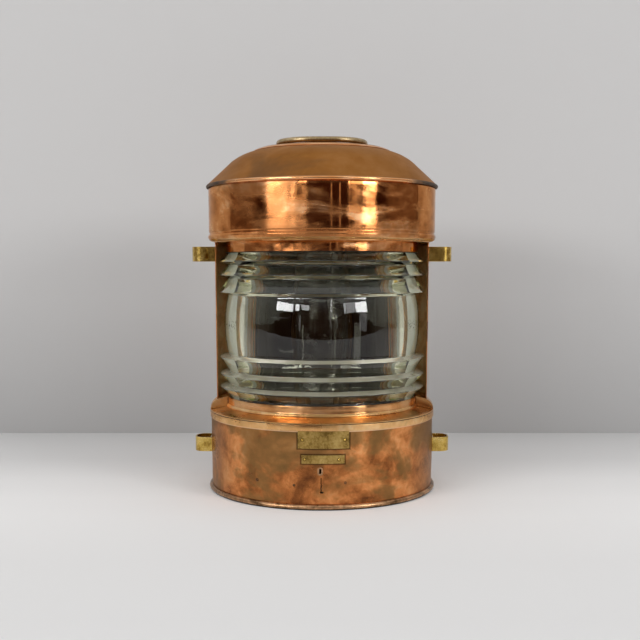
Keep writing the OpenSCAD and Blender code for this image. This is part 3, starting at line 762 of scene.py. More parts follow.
def buildRodGroup(group):
    path = group.node("GeometryNodeMeshToCurve", None, {"Mesh": group.given.out("Geometry")})
    ring = group.node("GeometryNodeCurvePrimitiveCircle", None,
                      {"Resolution": group.given.out("Sides"), "Radius": group.given.out("Radius")})
    skin = group.node("GeometryNodeCurveToMesh", None,
                      {"Curve": path, "Profile Curve": ring, "Fill Caps": True})
    group.end(skin)


buildRodGroup(rodGroup)
print("shape tools ready")


def placesObject(name, places):
    # one vertex for each place: position, turn and size
    data = bpy.data.meshes.new(name)
    data.from_pydata([place[0] for place in places], [], [])
    data.attributes.new("turn", "FLOAT_VECTOR", "POINT")
    data.attributes.new("size", "FLOAT", "POINT")
    for i, place in enumerate(places):
        data.attributes["turn"].data[i].vector = place[1]
        data.attributes["size"].data[i].value = place[2]
    return toObject(name, data)


def onWall(radius, azimuth, height, size=1.0):
    # a place on an upright wall, facing outwards
    angle = math.radians(azimuth)
    spot = (radius * math.cos(angle), radius * math.sin(angle), height)
    return (spot, (0, math.pi / 2, angle), size)


def loopObject(name, points, closed):
    # a chain of edges through points
    count = len(points)
    edges = [(i, (i + 1) % count) for i in range(count if closed else count - 1)]
    data = bpy.data.meshes.new(name)
    data.from_pydata(points, edges, [])
    return toObject(name, data)


def removeHelpers(*helpers):
    for helper in helpers:
        bpy.data.objects.remove(helper)


def pierced(name, mesh, cutterMesh, places, finish):
    wall = toObject(name + "Wall", mesh)
    cutter = toObject(name + "Cutter", cutterMesh)
    spots = placesObject(name + "Places", places)
    data = pierceGroup.run(wall, {"Cutter": cutter, "Places": spots,
                                  "Material": finishes[finish]})
    removeHelpers(wall, cutter, spots)
    return data


def boxCutter(width, height, depth):
    # along the wall's local X (down), Y (round the drum) and Z (outwards)
    mesh = bmesh.new()
    bmesh.ops.create_cube(mesh, size=1.0)
    bmesh.ops.scale(mesh, vec=(height, width, depth), verts=mesh.verts)
    return mesh


def roundCutter(radius, depth):
    mesh = bmesh.new()
    bmesh.ops.create_cone(mesh, cap_ends=True, segments=32, radius1=radius, radius2=radius,
                          depth=depth)
    return mesh


# Base: wall, bead and shoulder

baseWall = {
    "edge": 0.25 * mm,
    "dents": 0.28 * mm,
    "dentSize": 42 * mm,
    "vents": 9,
    "ventPitch": 12.0,
    "ventR": 3.5 * mm,
    "ventZ": 24 * mm,
    "slit": (1.0 * mm, 15.6 * mm, 26.2 * mm),    # width, height, middle
    "slitFoot": (3.4 * mm, 1.6 * mm, 18.6 * mm),
    "eyelet": (2.4 * mm, 5.8 * mm, 40.6 * mm),
}


def buildBase(look):
    bottom = low("base_shell")
    top = high("base_shell")
    wall = [(drumR - sheet, bottom), (drumR, bottom), (drumR, top), (drumR - sheet, top)]
    mesh = lathe(splitLong(fillet(wall, look["edge"]), 4 * mm))
    dent(mesh, look["dents"], look["dentSize"], 3.0)
    first = rear - look["ventPitch"] * (look["vents"] - 1) / 2
    vents = [onWall(drumR, first + look["ventPitch"] * i, look["ventZ"])
             for i in range(look["vents"])]
    data = pierced("vents", mesh, roundCutter(look["ventR"], 8 * mm), vents, "baseCopper")
    width, height, middle = look["eyelet"]
    eyelet = [onWall(drumR, front - 0.8, middle)]
    data = pierced("eyelet", data, boxCutter(width, height, 8 * mm), eyelet, "baseCopper")
    width, height, middle = look["slit"]
    slit = [onWall(drumR, front - 0.4, middle)]
    data = pierced("slit", data, boxCutter(width, height, 8 * mm), slit, "baseCopper")
    width, height, middle = look["slitFoot"]
    foot = [onWall(drumR, front, middle)]
    data = pierced("slitFoot", data, boxCutter(width, height, 8 * mm), foot, "baseCopper")
    piece = addPiece("baseWall", data, "baseCopper", replaced=["base_shell"])
    # the inside faces take black as painted shade
    coatInside(piece, "blackShade")


buildBase(baseWall)

footBead = {"centreR": 124.9 * mm, "r": 3.1 * mm, "z": 2.9 * mm, "steps": 32}


def buildBead(look):
    turns = [2 * math.pi * i / look["steps"] for i in range(look["steps"])]
    outline = [(look["centreR"] + look["r"] * math.sin(a),
                max(0.0, look["z"] + look["r"] * math.cos(a))) for a in turns]
    mesh = lathe(outline)
    addPiece("footBead", mesh, "beadCopper", replaced=["base_bead"])


buildBead(footBead)

shoulder = {
    "skirtLow": 82.2 * mm,
    "grooveZ": 88.8 * mm,
    "edgeZ": 89.9 * mm,
    "topZ": 93.6 * mm,
    "footCentre": (114.3 * mm, 90.2 * mm),
    "footR": 11.8 * mm,
    "ledgeZ": 101.6 * mm,
    "innerZ": 104.4 * mm,
    "shellR": 118.7 * mm,
    "cheek": 0.55,
}


def buildShoulder(look):
    skirt = [(skirtR - sheet, look["skirtLow"]), (skirtR, look["skirtLow"]),
             (skirtR, look["grooveZ"] - 0.5 * mm), (skirtR - 0.8 * mm, look["grooveZ"]),
             (skirtR, look["grooveZ"] + 0.4 * mm), (skirtR - 0.9 * mm, look["edgeZ"], 0.8 * mm),
             (collarR, look["topZ"]), (collarR - sheet, look["topZ"]),
             (collarR - sheet, look["topZ"] - sheet), (skirtR - sheet, look["edgeZ"] - sheet)]
    mesh = lathe(splitLong(fillet(skirt, 0.2 * mm), 4 * mm))
    dent(mesh, 0.12 * mm, 30 * mm, 8.0)
    piece = addPiece("shoulderRing", mesh, "shoulderCopper",
                     replaced=["shoulder_ring"])
    # painted shade: the groove's faces take the dark copper
    piece.data.materials.append(finishes["darkCopper"])
    for face in piece.data.polygons:
        if abs(face.center.z - look["grooveZ"]) < 0.45 * mm:
            face.material_index = 1
    centre = look["footCentre"]
    outside = arcPoints(centre, look["footR"], 90, 22, 14)
    inside = arcPoints(centre, look["footR"] - sheet, 22, 90, 14)
    ledgeEnd = (collarR + 0.1 * mm, look["innerZ"])
    foot = (outside + [(look["shellR"], look["ledgeZ"]), ledgeEnd,
                       (ledgeEnd[0], ledgeEnd[1] - sheet),
                       (look["shellR"] - sheet, look["ledgeZ"] - sheet)] + inside)
    sweep = 180 - 2 * shellFrom
    mesh = lathe(splitLong(foot, 5 * mm), shellFrom, sweep, 180)
    cheek = (arcPoints(centre, look["footR"] - sheet / 2, 90, 22, 14)
             + [(look["shellR"] - 0.4 * mm, look["ledgeZ"] - 0.5 * mm),
                (collarR + 0.6 * mm, look["innerZ"] - 0.6 * mm),
                (collarR + 0.6 * mm, look["topZ"] + 0.2 * mm)])
    for start in (shellFrom + 0.1, shellFrom + sweep - look["cheek"] - 0.1):
        end = lathe(cheek, start, look["cheek"], 2)
        part = bpy.data.meshes.new("cheek")
        end.to_mesh(part)
        end.free()
        mesh.from_mesh(part)
        bpy.data.meshes.remove(part)
    addPiece("shellFoot", mesh, "shoulderCopper", replaced=["shell_foot"])


buildShoulder(shoulder)
print("base built")


# Lens and its collars

collars = {
    "flangeR": 86 * mm,
    "wall": 1.4 * mm,
    "footZ": 93.6 * mm,
    "topZ": 104.5 * mm,
    "bead": 1.6 * mm,
    "upperLow": 262.5 * mm,
    "shadeBandHigh": 0.9 * mm,
}


def buildCollars(look):
    flange = look["flangeR"]
    inner = collarR - look["wall"]
    glassLow = low("lens")
    glassHigh = high("lens")
    footZ = look["footZ"]
    lower = [(flange, glassLow - sheet), (inner, glassLow - sheet), (inner, footZ),
             (collarR + look["bead"], footZ), (collarR + look["bead"], footZ + 1.6 * mm, 0.8 * mm),
             (collarR, footZ + 3.2 * mm, 0.8 * mm), (collarR, look["topZ"], 0.5 * mm),
             (inner, look["topZ"]), (inner, glassLow), (flange, glassLow)]
    split = shellFrom - 1
    mesh = lathe(splitLong(fillet(lower, 0.2 * mm), 4 * mm), 180 - split, 180 + 2 * split, 160)
    dent(mesh, 0.08 * mm, 30 * mm, 1.0)
    plain = [(flange, glassLow - sheet), (inner, glassLow - sheet), (inner, footZ),
             (collarR, footZ), (collarR, look["topZ"]), (inner, look["topZ"]),
             (inner, glassLow), (flange, glassLow)]
    back = lathe(plain, split, 180 - 2 * split, 120)
    part = bpy.data.meshes.new("collarBack")
    back.to_mesh(part)
    back.free()
    mesh.from_mesh(part)
    bpy.data.meshes.remove(part)
    piece = addPiece("lowerCollar", mesh, "collarCopper", replaced=["lens_collar_lower"])
    piece.data.materials.append(finishes["shoulderCopper"])
    for face in piece.data.polygons:
        beyond = math.hypot(face.center.x, face.center.y) > collarR + 0.2 * mm
        if beyond and face.center.z < footZ + 3.4 * mm:
            face.material_index = 1
    shadeBandZ = look["upperLow"] + look["shadeBandHigh"]
    upper = [(flange, glassHigh), (inner, glassHigh), (inner, look["upperLow"]),
             (collarR, look["upperLow"], 0.4 * mm), (collarR, shadeBandZ, 0), (collarR, shellTop),
             (inner, shellTop), (inner, glassHigh + sheet), (flange, glassHigh + sheet)]
    mesh = lathe(splitLong(fillet(upper, 0.2 * mm), 4 * mm))
    dent(mesh, 0.12 * mm, 34 * mm, 5.0)
    piece = addPiece("upperCollar", mesh, "drumCopper", replaced=["lens_collar_upper"])
    # painted shade: a black band along the collar's foot, where it meets the glass
    piece.data.materials.append(finishes["blackShade"])
    for face in piece.data.polygons:
        if face.center.z < shadeBandZ:
            face.material_index = 1


buildCollars(collars)

drumLens = {
    "focusZ": 184.5 * mm,
    "sweep": 225.0,
    "innerR": 88 * mm,
    "valleyR": 105.3 * mm,
    "tipR": 115.6 * mm,
    "beltR": 109.3 * mm,
    "beltHalf": 31.5 * mm,
    "seatR": 105.2 * mm,
    "dustAndSheenFacing": 0.8,              # how far up a face of the lower prisms looks to take the pale dust and painted reflection
    "tip": 1.1 * mm,           # radius of the prisms' edges
    "enamel": (67.4, 88.4),    # degrees from the front, on the inner face
    "steps": 225,
}


def buildLens(look):
    focus = look["focusZ"]
    valley = look["valleyR"]
    tip = look["tipR"]
    rise = look["beltR"] - valley
    curve = (look["beltHalf"] ** 2 + rise ** 2) / (2 * rise)
    edge = math.degrees(math.asin(look["beltHalf"] / curve))
    belt = arcPoints((look["beltR"] - curve, focus), curve, 90 + edge, 90 - edge, 40)
    prisms = [(valley, 32.5 * mm), (tip, 35.5 * mm), (valley, 49.5 * mm), (valley, 50.3 * mm),
              (tip, 54 * mm), (valley, 64.2 * mm), (valley, 65 * mm), (tip, 68.5 * mm),
              (valley - 0.9 * mm, 78 * mm)]
    upper = [(r, focus + z) for r, z in prisms]
    lower = [(r, focus - z) for r, z in reversed(prisms)]
    ends = 79.5 * mm
    outline = ([(look["innerR"], low("lens")), (look["seatR"], low("lens")),
                (look["seatR"], focus - ends)] + lower
               + [(r, z, 0) for r, z in belt] + upper
               + [(look["seatR"], focus + ends), (look["seatR"], high("lens")),
                  (look["innerR"], high("lens"))])
    rounded = splitLong(fillet(outline, look["tip"], 4), 6 * mm)
    middle = look["innerR"]
    base = loopObject("lensOutline", [(r - middle, -z, 0) for r, z in reversed(rounded)], True)
    data = sweepGroup.run(base, {"Radius": middle,
                                 "Start": math.radians(front - look["sweep"] / 2),
                                 "Sweep": math.radians(look["sweep"]), "Steps": look["steps"],
                                 "Material": finishes["lensGlass"]})
    removeHelpers(base)
    print("lens reaches", [round(max(v.co[i] for v in data.vertices), 4) for i in range(3)])
    piece = addPiece("drumLens", data, "lensGlass", replaced=["lens"], sharp=30)
    piece.data.materials.append(finishes["whiteEnamel"])
    piece.data.materials.append(finishes["dustAndSheenGlass"])
    enamelFrom, enamelTo = look["enamel"]
    for face in piece.data.polygons:
        around = abs(math.degrees(math.atan2(face.center.x, -face.center.y)))
        inner = math.hypot(face.center.x, face.center.y) < middle + 0.3 * mm
        if inner and enamelFrom < around < enamelTo:
            face.material_index = 1
        elif face.normal.z > look["dustAndSheenFacing"] and face.center.z < focus:
            face.material_index = 2


buildLens(drumLens)
print("lens built")


# Roof

roof = {
    "slots": 7,
    "slotPitch": 20.0,
    "slotSize": (22 * mm, 7 * mm),
    "slotZ": 303.5 * mm,
    "dents": 0.03 * mm,
    "turnedZ": 276.9 * mm,     # the edge that is turned in under the drum
    "domeCentre": (63.1 * mm, 312.7 * mm),
    "domeR": 60 * mm,
    "rimZ": 334.0 * mm,
    "rimR": 1.9 * mm,
    "rimCentre": 125.6 * mm,
    "grooveZ": 331.2 * mm,
    "crownZ": 376 * mm,
    "brightEdge": 73.4 * mm,   # beyond this radius the crown plate's edge takes the brighter, shinier rim copper, partly a painted highlight
}


def buildRoof(look):
    shellR = 118.7 * mm
    drumTop = look["rimZ"] - 1.2 * mm
    groove = look["grooveZ"]
    swage = arcPoints((drumR - 1.3 * mm, 279.9 * mm), 2.2 * mm, 100, 60, 5)
    outside = ([(shellR + 0.6 * mm, 274.6 * mm), (drumR - 2.2 * mm, 275.4 * mm, 1.2 * mm),
                (drumR - 0.2 * mm, 276.9 * mm, 1.2 * mm), (drumR + 0.1 * mm, 277.7 * mm)]
               + [(r, z, 0) for r, z in swage]
               + [(drumR - 0.1 * mm, 282.2 * mm), (drumR - 0.8 * mm, 282.9 * mm),
                  (drumR - 0.8 * mm, 284.1 * mm), (drumR, 285.3 * mm), (drumR, groove),
                  (drumR - 0.7 * mm, groove + 0.4 * mm), (drumR - 0.7 * mm, drumTop)])
    inside = [(drumR - 1.9 * mm, drumTop), (drumR - 1.9 * mm, groove + 0.1 * mm),
              (drumR - sheet, groove - 0.4 * mm), (drumR - sheet, 285.9 * mm),
              (drumR - 2 * mm, 284.7 * mm), (drumR - 2 * mm, 282.1 * mm),
              (drumR - 1.1 * mm, 280.9 * mm), (drumR - 1.1 * mm, 278.2 * mm),
              (drumR - 2.9 * mm, 276.8 * mm), (shellR + 0.6 * mm, 275.8 * mm)]
    mesh = lathe(splitLong(fillet(outside + inside, 0.3 * mm), 4 * mm))
    dent(mesh, look["dents"], 48 * mm, 6.0)
    first = rear - look["slotPitch"] * (look["slots"] - 1) / 2
    places = [onWall(drumR, first + look["slotPitch"] * i, look["slotZ"])
              for i in range(look["slots"])]
    width, height = look["slotSize"]
    data = pierced("smokeSlots", mesh, boxCutter(width, height, 10 * mm), places, "drumCopper")
    piece = addPiece("roofDrum", data, "drumCopper", replaced=["roof_drum"])
    # the inside faces take black as painted shade
    coatInside(piece, "blackShade")
    piece.data.materials.append(finishes["shoulderCopper"])
    for face in piece.data.polygons:
        if face.center.z < look["turnedZ"] and face.material_index == 0:
            face.material_index = 2

    turns = [2 * math.pi * i / 28 for i in range(28)]
    rim = [(look["rimCentre"] + look["rimR"] * math.sin(a),
            look["rimZ"] + look["rimR"] * math.cos(a)) for a in turns]
    mesh = lathe(rim)
    dent(mesh, 0.1 * mm, 40 * mm, 2.0)
    addPiece("roofRim", mesh, "rimCopper", replaced=["roof_rim"])

    centre = look["domeCentre"]
    radius = look["domeR"]
    top = look["crownZ"] - 3.1 * mm
    edgeZ = look["rimZ"] + 1.4 * mm
    outside = [(126.6 * mm, edgeZ)] + arcPoints(centre, radius, 38, 8, 18)
    inside = arcPoints(centre, radius - sheet, 8, 38, 18) + [(125.4 * mm, edgeZ + 0.1 * mm)]
    dome = outside + [(0, top), (0, top - sheet)] + inside
    mesh = lathe(splitLong(dome, 4 * mm))
    dent(mesh, 0.15 * mm, 44 * mm, 9.0)
    addPiece("domeSheet", mesh, "domeCopper", replaced=["dome"], sharp=50)

    crown = look["crownZ"]
    plate = [(0, crown - 3 * mm), (71.5 * mm, crown - 3.75 * mm), (75.7 * mm, crown - 4.5 * mm),
             (76 * mm, crown - 4.1 * mm), (75.2 * mm, crown - 3.2 * mm),
             (73 * mm, crown - 2.1 * mm, 2 * mm), (70 * mm, crown - 1.2 * mm, 3 * mm),
             (64 * mm, crown - 0.4 * mm, 3 * mm), (58 * mm, crown, 3 * mm), (0, crown)]
    mesh = lathe(splitLong(fillet(plate, 0.0), 4 * mm))
    piece = addPiece("crownPlate", mesh, "domeCopper", replaced=["crown_plate"],
                     sharp=50)
    # the edge's brighter copper is partly a painted highlight
    piece.data.materials.append(finishes["rimCopper"])
    for face in piece.data.polygons:
        if math.hypot(face.center.x, face.center.y) > look["brightEdge"]:
            face.material_index = 1


buildRoof(roof)
print("roof built")


# Handle, loops, plates and rivets

handle = {"half": 49.2 * mm, "reach": 60 * mm, "r": 2.9 * mm, "corner": 36 * mm,
          "elbow": 6 * mm, "end": 32 * mm, "z": 379.3 * mm}


def bend(centre, radius, start, end, steps=12):
    turns = [math.radians(start + (end - start) * i / steps) for i in range(steps + 1)]
    return [(centre[0] + radius * math.cos(a), centre[1] + radius * math.sin(a)) for a in turns]


def buildHandle(look):
    armX = look["half"] - look["r"]
    barY = look["r"] - look["reach"]
    corner = look["corner"]
    elbow = look["elbow"]
    right = ([(look["end"], 0)] + bend((armX - elbow, -elbow), elbow, 90, 0)
             + bend((armX - corner, barY + corner), corner, 0, -90))
    path = right + [(-x, y) for x, y in reversed(right)]
    base = loopObject("handlePath", [(x, y, look["z"]) for x, y in path], False)
    data = rodGroup.run(base, {"Radius": look["r"], "Sides": 32,
                               "Material": finishes["handleBrass"]})
    removeHelpers(base)
    addPiece("carryingHandle", data, "handleBrass", "handle", ["carrying_handle"], 60)


buildHandle(handle)


def softened(node, finish, body="housing", width=0.25 * mm):
    # a copy of a node with its edges rounded
    mesh = bmesh.new()
    mesh.from_mesh(cadNodes[node].data)
    bmesh.ops.remove_doubles(mesh, verts=mesh.verts, dist=2e-6)
    bmesh.ops.dissolve_limit(mesh, angle_limit=math.radians(0.4), verts=mesh.verts,
                             edges=mesh.edges)
    words = node.split("_")
    name = words[0] + "".join(word.title() for word in words[1:]) + "Soft"
    piece = addPiece(name, mesh, finish, body, [node])
    edge = piece.modifiers.new("edge", "BEVEL")
    edge.width = width
    edge.segments = 2
    edge.limit_method = "ANGLE"
    edge.angle_limit = math.radians(40)
    return piece


for loopNode in ("guide_loop_upper_left", "guide_loop_upper_right", "guide_loop_lower_left",
                 "guide_loop_lower_right"):
    softened(loopNode, "strapBrass")
for plateNode in ("name_plate", "number_plate"):
    softened(plateNode, "plateBrass")
softened("base_eyelet", "beadCopper")
for earNode in ("handle_ear_left", "handle_ear_right"):
    softened(earNode, "handleBrass")

rivets = {
    "headR": 1.5 * mm,
    "headH": 0.9 * mm,
    "plateZ": 73.1 * mm,
    "numberZ": 52.95 * mm,
    "studZ": (25.6 * mm, 28.3 * mm),
    "leftStudZ": 27.8 * mm,
    "upperZ": 261.5 * mm,
    "lowerZ": 48.8 * mm,
    "earX": 36 * mm,
    "earY": 7.8 * mm,
    "earZ": 377.4 * mm,
}


def rivetHead(look):
    # a snap head with a faint flat on top
    r = look["headR"]
    h = look["headH"]
    outline = [(0, -0.3 * mm), (r, -0.3 * mm), (r, 0.05 * mm), (r * 0.93, h * 0.42),
               (r * 0.76, h * 0.72), (r * 0.5, h * 0.93), (r * 0.25, h), (0, h)]
    return toObject("rivetHead", lathe(outline, 0, 360, 20))


def buildRivets(name, node, places, finish, head):
    base = placesObject(name + "Places", places)
    data = rivetGroup.run(base, {"Head": head, "Material": finishes[finish]})
    removeHelpers(base)
    addPiece(name, data, finish, replaced=[node], sharp=60)


def buildAllRivets(look):
    head = rivetHead(look)
    plateR = drumR + 1 * mm
    plates = ([onWall(plateR, front + a, look["plateZ"]) for a in (-9.1, 10.7)]
              + [onWall(plateR, front + a, look["numberZ"], 0.87) for a in (-8.0, 8.0)])
    buildRivets("plateRivets", "plate_rivets", plates, "strapBrass", head)
    left, right = look["studZ"]
    studs = [onWall(drumR, front - 13.2, left), onWall(drumR, front + 11.1, right),
             onWall(drumR, front - 32.6, look["leftStudZ"], 1.27)]
    buildRivets("baseStuds", "base_studs", studs, "darkCopper", head)
    loops = []
    for side in (0, 180):
        for turn in (-2.8, 2.8):
            loops.append(onWall(118.7 * mm + 1.6 * mm, side + turn, look["upperZ"], 1.2))
            loops.append(onWall(drumR + 1.6 * mm, side + turn, look["lowerZ"], 1.2))
    buildRivets("loopRivets", "loop_rivets", loops, "strapBrass", head)
    ears = [((x, y, look["earZ"]), (0, 0, 0), 0.93)
            for x in (-look["earX"], look["earX"]) for y in (-look["earY"], look["earY"])]
    buildRivets("earRivets", "ear_rivets", ears, "handleBrass", head)
    removeHelpers(head)


buildAllRivets(rivets)
print("fittings built")


# Rear shell and door

rearShell = {"r": 118.7 * mm, "doorwayHalf": 38.0, "doorR": 119.3 * mm,
             "doorHalf": 42.0}


def buildShell(look):
    r = look["r"]
    bottom = low("back_shell")
    doorLow = low("door_panel") + 6 * mm
    doorHigh = high("door_panel") - 6 * mm
    bands = ((bottom, doorLow), (doorHigh, shellTop))
    side = rear - look["doorwayHalf"] - shellFrom
    mesh = bmesh.new()
    columns = []
    for start, span in ((shellFrom, side), (rear + look["doorwayHalf"], side)):
        columns.append((start, span))
    middle = (rear - look["doorwayHalf"], 2 * look["doorwayHalf"])
    cells = [(start, span, bottom, shellTop) for start, span in columns]
    cells += [(middle[0], middle[1], z0, z1) for z0, z1 in bands]
    levels = levelsBetween(bottom, doorLow, doorHigh, shellTop)
    for start, span, z0, z1 in cells:
        steps = round(span)
        rows = [z for z in levels if z0 - 1e-7 <= z <= z1 + 1e-7]
        grid = [[mesh.verts.new((r * math.cos(math.radians(start + span * i / steps)),
                                 r * math.sin(math.radians(start + span * i / steps)), z))
                 for z in rows] for i in range(steps + 1)]
        for i in range(steps):
            for j in range(len(rows) - 1):
                mesh.faces.new((grid[i][j], grid[i + 1][j], grid[i + 1][j + 1], grid[i][j + 1]))
    bmesh.ops.remove_doubles(mesh, verts=mesh.verts, dist=1e-6)
    bmesh.ops.recalc_face_normals(mesh, faces=mesh.faces)
    dent(mesh, 0.25 * mm, 46 * mm, 12.0)
    piece = addPiece("rearShell", mesh, "shellCopper", replaced=["back_shell"])
    addThickness(piece, sheet)


def levelsBetween(*stops):
    # heights about 5 mm apart that include each stop
    levels = [stops[0]]
    for start, end in zip(stops, stops[1:]):
        parts = round((end - start) / (5 * mm))
        levels += [start + (end - start) * (i + 1) / parts for i in range(parts)]
    return levels


def addThickness(piece, depth):
    wall = piece.modifiers.new("wall", "SOLIDIFY")
    wall.thickness = depth
    wall.offset = -1.0
    # the shell's inner side: bare copper at its front edges, black painted shade further in
    piece.data.materials.append(finishes["bareEdgeBlackShade"])
    wall.material_offset = 1
    wall.material_offset_rim = 0


buildShell(rearShell)


def buildDoor(look):
    # the panel swells outwards a little between its edges
    outer = look["doorR"] + sheet
    bottom = low("door_panel")
    top = high("door_panel")
    outline = [(look["doorR"], bottom), (outer, bottom), (outer, top), (look["doorR"], top)]
    mesh = lathe(splitLong(fillet(outline, 0.35 * mm), 5 * mm), rear - look["doorHalf"],
                 2 * look["doorHalf"], 84)
    dent(mesh, 0.15 * mm, 50 * mm, 15.0)
    piece = addPiece("doorPanel", mesh, "shellCopper", "door", ["door_panel"])
    # the inside faces take black as painted shade
    coatInside(piece, "blackShade")


buildDoor(rearShell)
for hingeNode, hingeBody in (("hinge_leaf_upper", "housing"), ("hinge_leaf_lower", "housing"),
                             ("door_leaf_upper", "door"), ("door_leaf_lower", "door"),
                             ("hasp_bracket", "door"), ("hasp", "hasp"),
                             ("hasp_staple", "housing")):
    softened(hingeNode, "strapBrass", hingeBody, 0.2 * mm)
print("rear built")

nodeFinishes = {
    "steelPin": ["base_wire", "hinge_pin_upper", "hinge_pin_lower", "hasp_pin", "wick_shaft"],
    "creamPaint": ["base_floor", "tank_seat"],
    "shoulderCopper": ["roof_floor"],
    "collarCopper": ["lens_channel_left", "lens_channel_right"],
    "shadedTinnedSheet": ["flue_tube", "flue_cap"],
    "shadedLampBrass": ["oil_tank", "burner_collar", "burner_body", "burner_gallery", "flame_cap",
                  "wick_tube", "filler_cap", "wick_knob"],
    "strapBrass": ["door_pull"],
    "chimneyGlass": ["chimney"],
    "wickCotton": ["wick"],
}
for finishName, finishNodes in nodeFinishes.items():
    for nodeName in finishNodes:
        for materialSlot in cadNodes[nodeName].material_slots:
            materialSlot.material = finishes[finishName]
print("inside finished")


# Stage, light and camera

stage = {
    "floorSize": 12.0,
    "floorFrontY": -0.80,
    # painted shade: the floor is lightest just before the lantern, darker towards the wall and a
    # little darker further in front
    "floorTones": [(-0.44, 0.77), (-0.30, 0.81), (-0.15, 0.89), (-0.07, 0.90), (0.03, 0.85),
                   (0.10, 0.77), (0.15, 0.72), (0.35, 0.66)],
    "wallY": 0.35,             # just behind the lantern
    "wallX": (-1.95, 1.22),
    "wallHigh": 2.2,
    # painted shade: the wall darkens towards its foot
    "wallTones": [(0.0, 0.455), (0.08, 0.50), (0.20, 0.575), (0.35, 0.605), (0.62, 0.615)],
}


def planeObject(name, corners, material):
    data = bpy.data.meshes.new(name)
    data.from_pydata(corners, [], [(0, 1, 2, 3)])
    data.materials.append(material)
    made = toObject(name, data)
    return made


def shaded(finish, axis, tones):
    # a grey that changes along one axis, from pairs of place and level
    first = tones[0][0]
    span = tones[-1][0] - first
    along = finish.node("ShaderNodeSeparateXYZ", None, {0: finish.place}).out(axis)
    stops = [((place - first) / span, grey(level)) for place, level in tones]
    part = finish.node("ShaderNodeMapRange", None,
                       {"Value": along, "From Min": first, "From Max": first + span})
    return finish.ramp(part, stops)


def buildStage(look):
    floorFinish = Finish("paleFloor")
    tone = shaded(floorFinish, "Y", look["floorTones"])
    floorFinish.end({"Base Color": tone, "Roughness": 1.0, "Specular IOR Level": 0.0})
    half = look["floorSize"] / 2
    front = look["floorFrontY"]
    planeObject("floor", [(-half, front, 0), (half, front, 0), (half, half, 0), (-half, half, 0)],
                floorFinish.material)
    wallFinish = Finish("paleWall")
    tone = shaded(wallFinish, "Z", look["wallTones"])
    plain = wallFinish.node("ShaderNodeBsdfPrincipled", None,
                            {"Base Color": tone, "Roughness": 1.0, "Specular IOR Level": 0.0})
    clear = wallFinish.node("ShaderNodeBsdfTransparent")
    behind = wallFinish.node("ShaderNodeNewGeometry", out="Backfacing")
    shader = wallFinish.node("ShaderNodeMixShader", None, {0: behind, 1: plain, 2: clear})
    wallFinish.node("ShaderNodeOutputMaterial", None, {"Surface": shader})
    left, right = look["wallX"]
    y = look["wallY"]
    planeObject("wall", [(left, y, 0), (right, y, 0), (right, y, look["wallHigh"]),
                         (left, y, look["wallHigh"])], wallFinish.material)


buildStage(stage)

curtain = {
    "radius": 2.7,             # beyond the lamps
    "from": 165.0,
    "sweep": 217.0,
    "bottom": -0.5,
    "top": 2.4,
    "fade": (0.7, 2.0),        # where it gives way to the pale ceiling
    "tone": colour(0.050, 0.021, 0.012),
    "sideTone": colour(0.23, 0.18, 0.145),
    "sideX": (2.38, 2.56),     # beyond this the room is lighter
    "steps": 72,
}


def buildCurtain(look):
    # the dark room before the lantern, which only its metal and glass show
    finish = Finish("darkCurtain")
    places = finish.node("ShaderNodeSeparateXYZ", None, {0: finish.place})
    across = finish.node("ShaderNodeMath", {"operation": "ABSOLUTE"}, {0: places.out("X")})
    tone = finish.mix(finish.step(across, *look["sideX"]), look["tone"], look["sideTone"])
    height = places.out("Z")
    dark = finish.node("ShaderNodeEmission", None, {"Color": tone})
    clear = finish.node("ShaderNodeBsdfTransparent")
    shader = finish.node("ShaderNodeMixShader", None,
                         {0: finish.step(height, *look["fade"]), 1: dark, 2: clear})
    finish.node("ShaderNodeOutputMaterial", None, {"Surface": shader})
    corners = []
    for i in range(look["steps"] + 1):
        angle = math.radians(look["from"] + look["sweep"] * i / look["steps"])
        x = look["radius"] * math.cos(angle)
        y = look["radius"] * math.sin(angle)
        corners += [(x, y, look["bottom"]), (x, y, look["top"])]
    faces = [(2 * i, 2 * i + 2, 2 * i + 3, 2 * i + 1) for i in range(look["steps"])]
    data = bpy.data.meshes.new("curtain")
    data.from_pydata(corners, [], faces)
    data.materials.append(finish.material)
    made = toObject("curtain", data)
    made.visible_camera = False


buildCurtain(curtain)

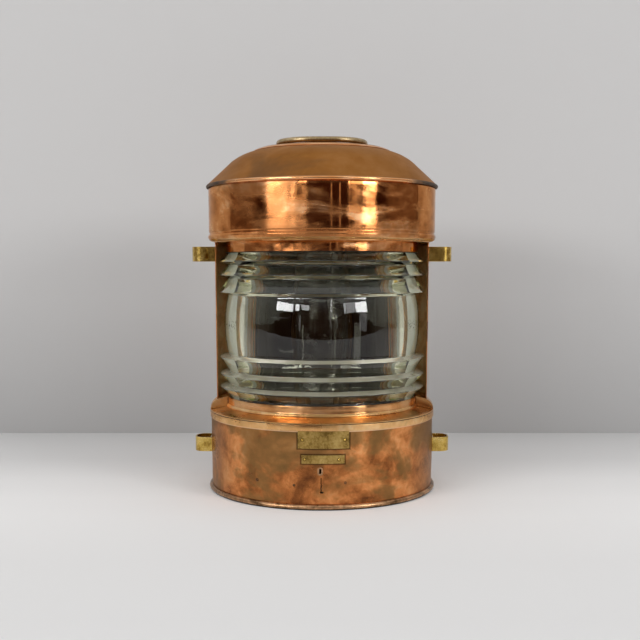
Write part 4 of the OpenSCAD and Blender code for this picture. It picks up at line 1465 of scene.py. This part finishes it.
lights = {
    "leftWindow": {"azimuth": -43.6, "height": 16.4, "width": 20.4, "tall": 7.6, "level": 18.0},
    "leftSlit": {"azimuth": -28.4, "height": 16.6, "width": 4.4, "tall": 7.0, "level": 16.0},
    "middleWindow": {"azimuth": -19.0, "height": 16.8, "width": 8.6, "tall": 5.5, "level": 6.5},
    "rightWindow": {"azimuth": 46.4, "height": 15.3, "width": 13.5, "tall": 9.8, "level": 18.0},
    "rightBlind": {"azimuth": 33.6, "height": 15.3, "width": 11.4, "tall": 9.8, "level": 4.0},
    "rightSlit": {"azimuth": 26.2, "height": 15.3, "width": 1.8, "tall": 9.8, "level": 7.0},
    "leftFrame": {"azimuth": -24.6, "height": 2.0, "width": 1.6, "tall": 15.0, "level": 1.6},
    "innerLine": {"azimuth": 9.0, "height": 4.0, "width": 0.9, "tall": 15.0, "level": 0.7},
    "outerLine": {"azimuth": 17.0, "height": 4.0, "width": 1.2, "tall": 15.0, "level": 0.7},
    "leftSill": {"azimuth": -48.0, "height": 6.2, "width": 20.0, "tall": 0.8, "level": 1.3},
    "rightCurtain": {"azimuth": 47.0, "height": 2.0, "width": 9.0, "tall": 15.0, "level": 1.2},
}
lightDistance = 2.4
lightTarget = Vector((0, 0, 0.20))


def addLight(name, look):
    # a flat panel that faces the lantern; its width and height are angles
    azimuth = math.radians(look["azimuth"])
    rise = math.radians(look["height"])
    direction = Vector((math.sin(azimuth) * math.cos(rise), -math.cos(azimuth) * math.cos(rise),
                        math.sin(rise)))
    data = bpy.data.lights.new(name, "AREA")
    data.shape = "RECTANGLE"
    data.size = 2 * lightDistance * math.tan(math.radians(look["width"] / 2))
    data.size_y = 2 * lightDistance * math.tan(math.radians(look["tall"] / 2))
    data.energy = look["level"] * math.pi * data.size * data.size_y
    lamp = bpy.data.objects.new(name, data)
    bpy.context.scene.collection.objects.link(lamp)
    lamp.location = lightTarget + direction * lightDistance
    lamp.rotation_euler = direction.to_track_quat("Z", "Y").to_euler()
    lamp.visible_camera = False


for lightName, lightLook in lights.items():
    addLight(lightName, lightLook)

worldTone = 0.80


def buildWorld(level):
    world = bpy.data.worlds.new("room")
    bpy.context.scene.world = world
    world.use_nodes = True
    tree = Tree(world.node_tree)
    lit = tree.node("ShaderNodeBackground", None, {"Color": grey(level)})
    tree.node("ShaderNodeOutputWorld", None, {"Surface": lit})


buildWorld(worldTone)

cameraLook = {
    "distance": 1.0996,        # from the lantern's axis
    "height": 0.2453,
    "pitch": 7.664,            # degrees below the horizon
    "lens": 54.8,
    "shift": (-0.003, 0.125),
}


def buildCamera(look):
    data = bpy.data.cameras.new("camera")
    data.lens = look["lens"]
    data.shift_x, data.shift_y = look["shift"]
    camera = bpy.data.objects.new("camera", data)
    bpy.context.scene.collection.objects.link(camera)
    camera.location = (0, -look["distance"], look["height"])
    camera.rotation_euler = (math.radians(90 - look["pitch"]), 0, 0)
    bpy.context.scene.camera = camera


buildCamera(cameraLook)
bpy.context.scene.view_settings.view_transform = "Standard"
print("stage ready")
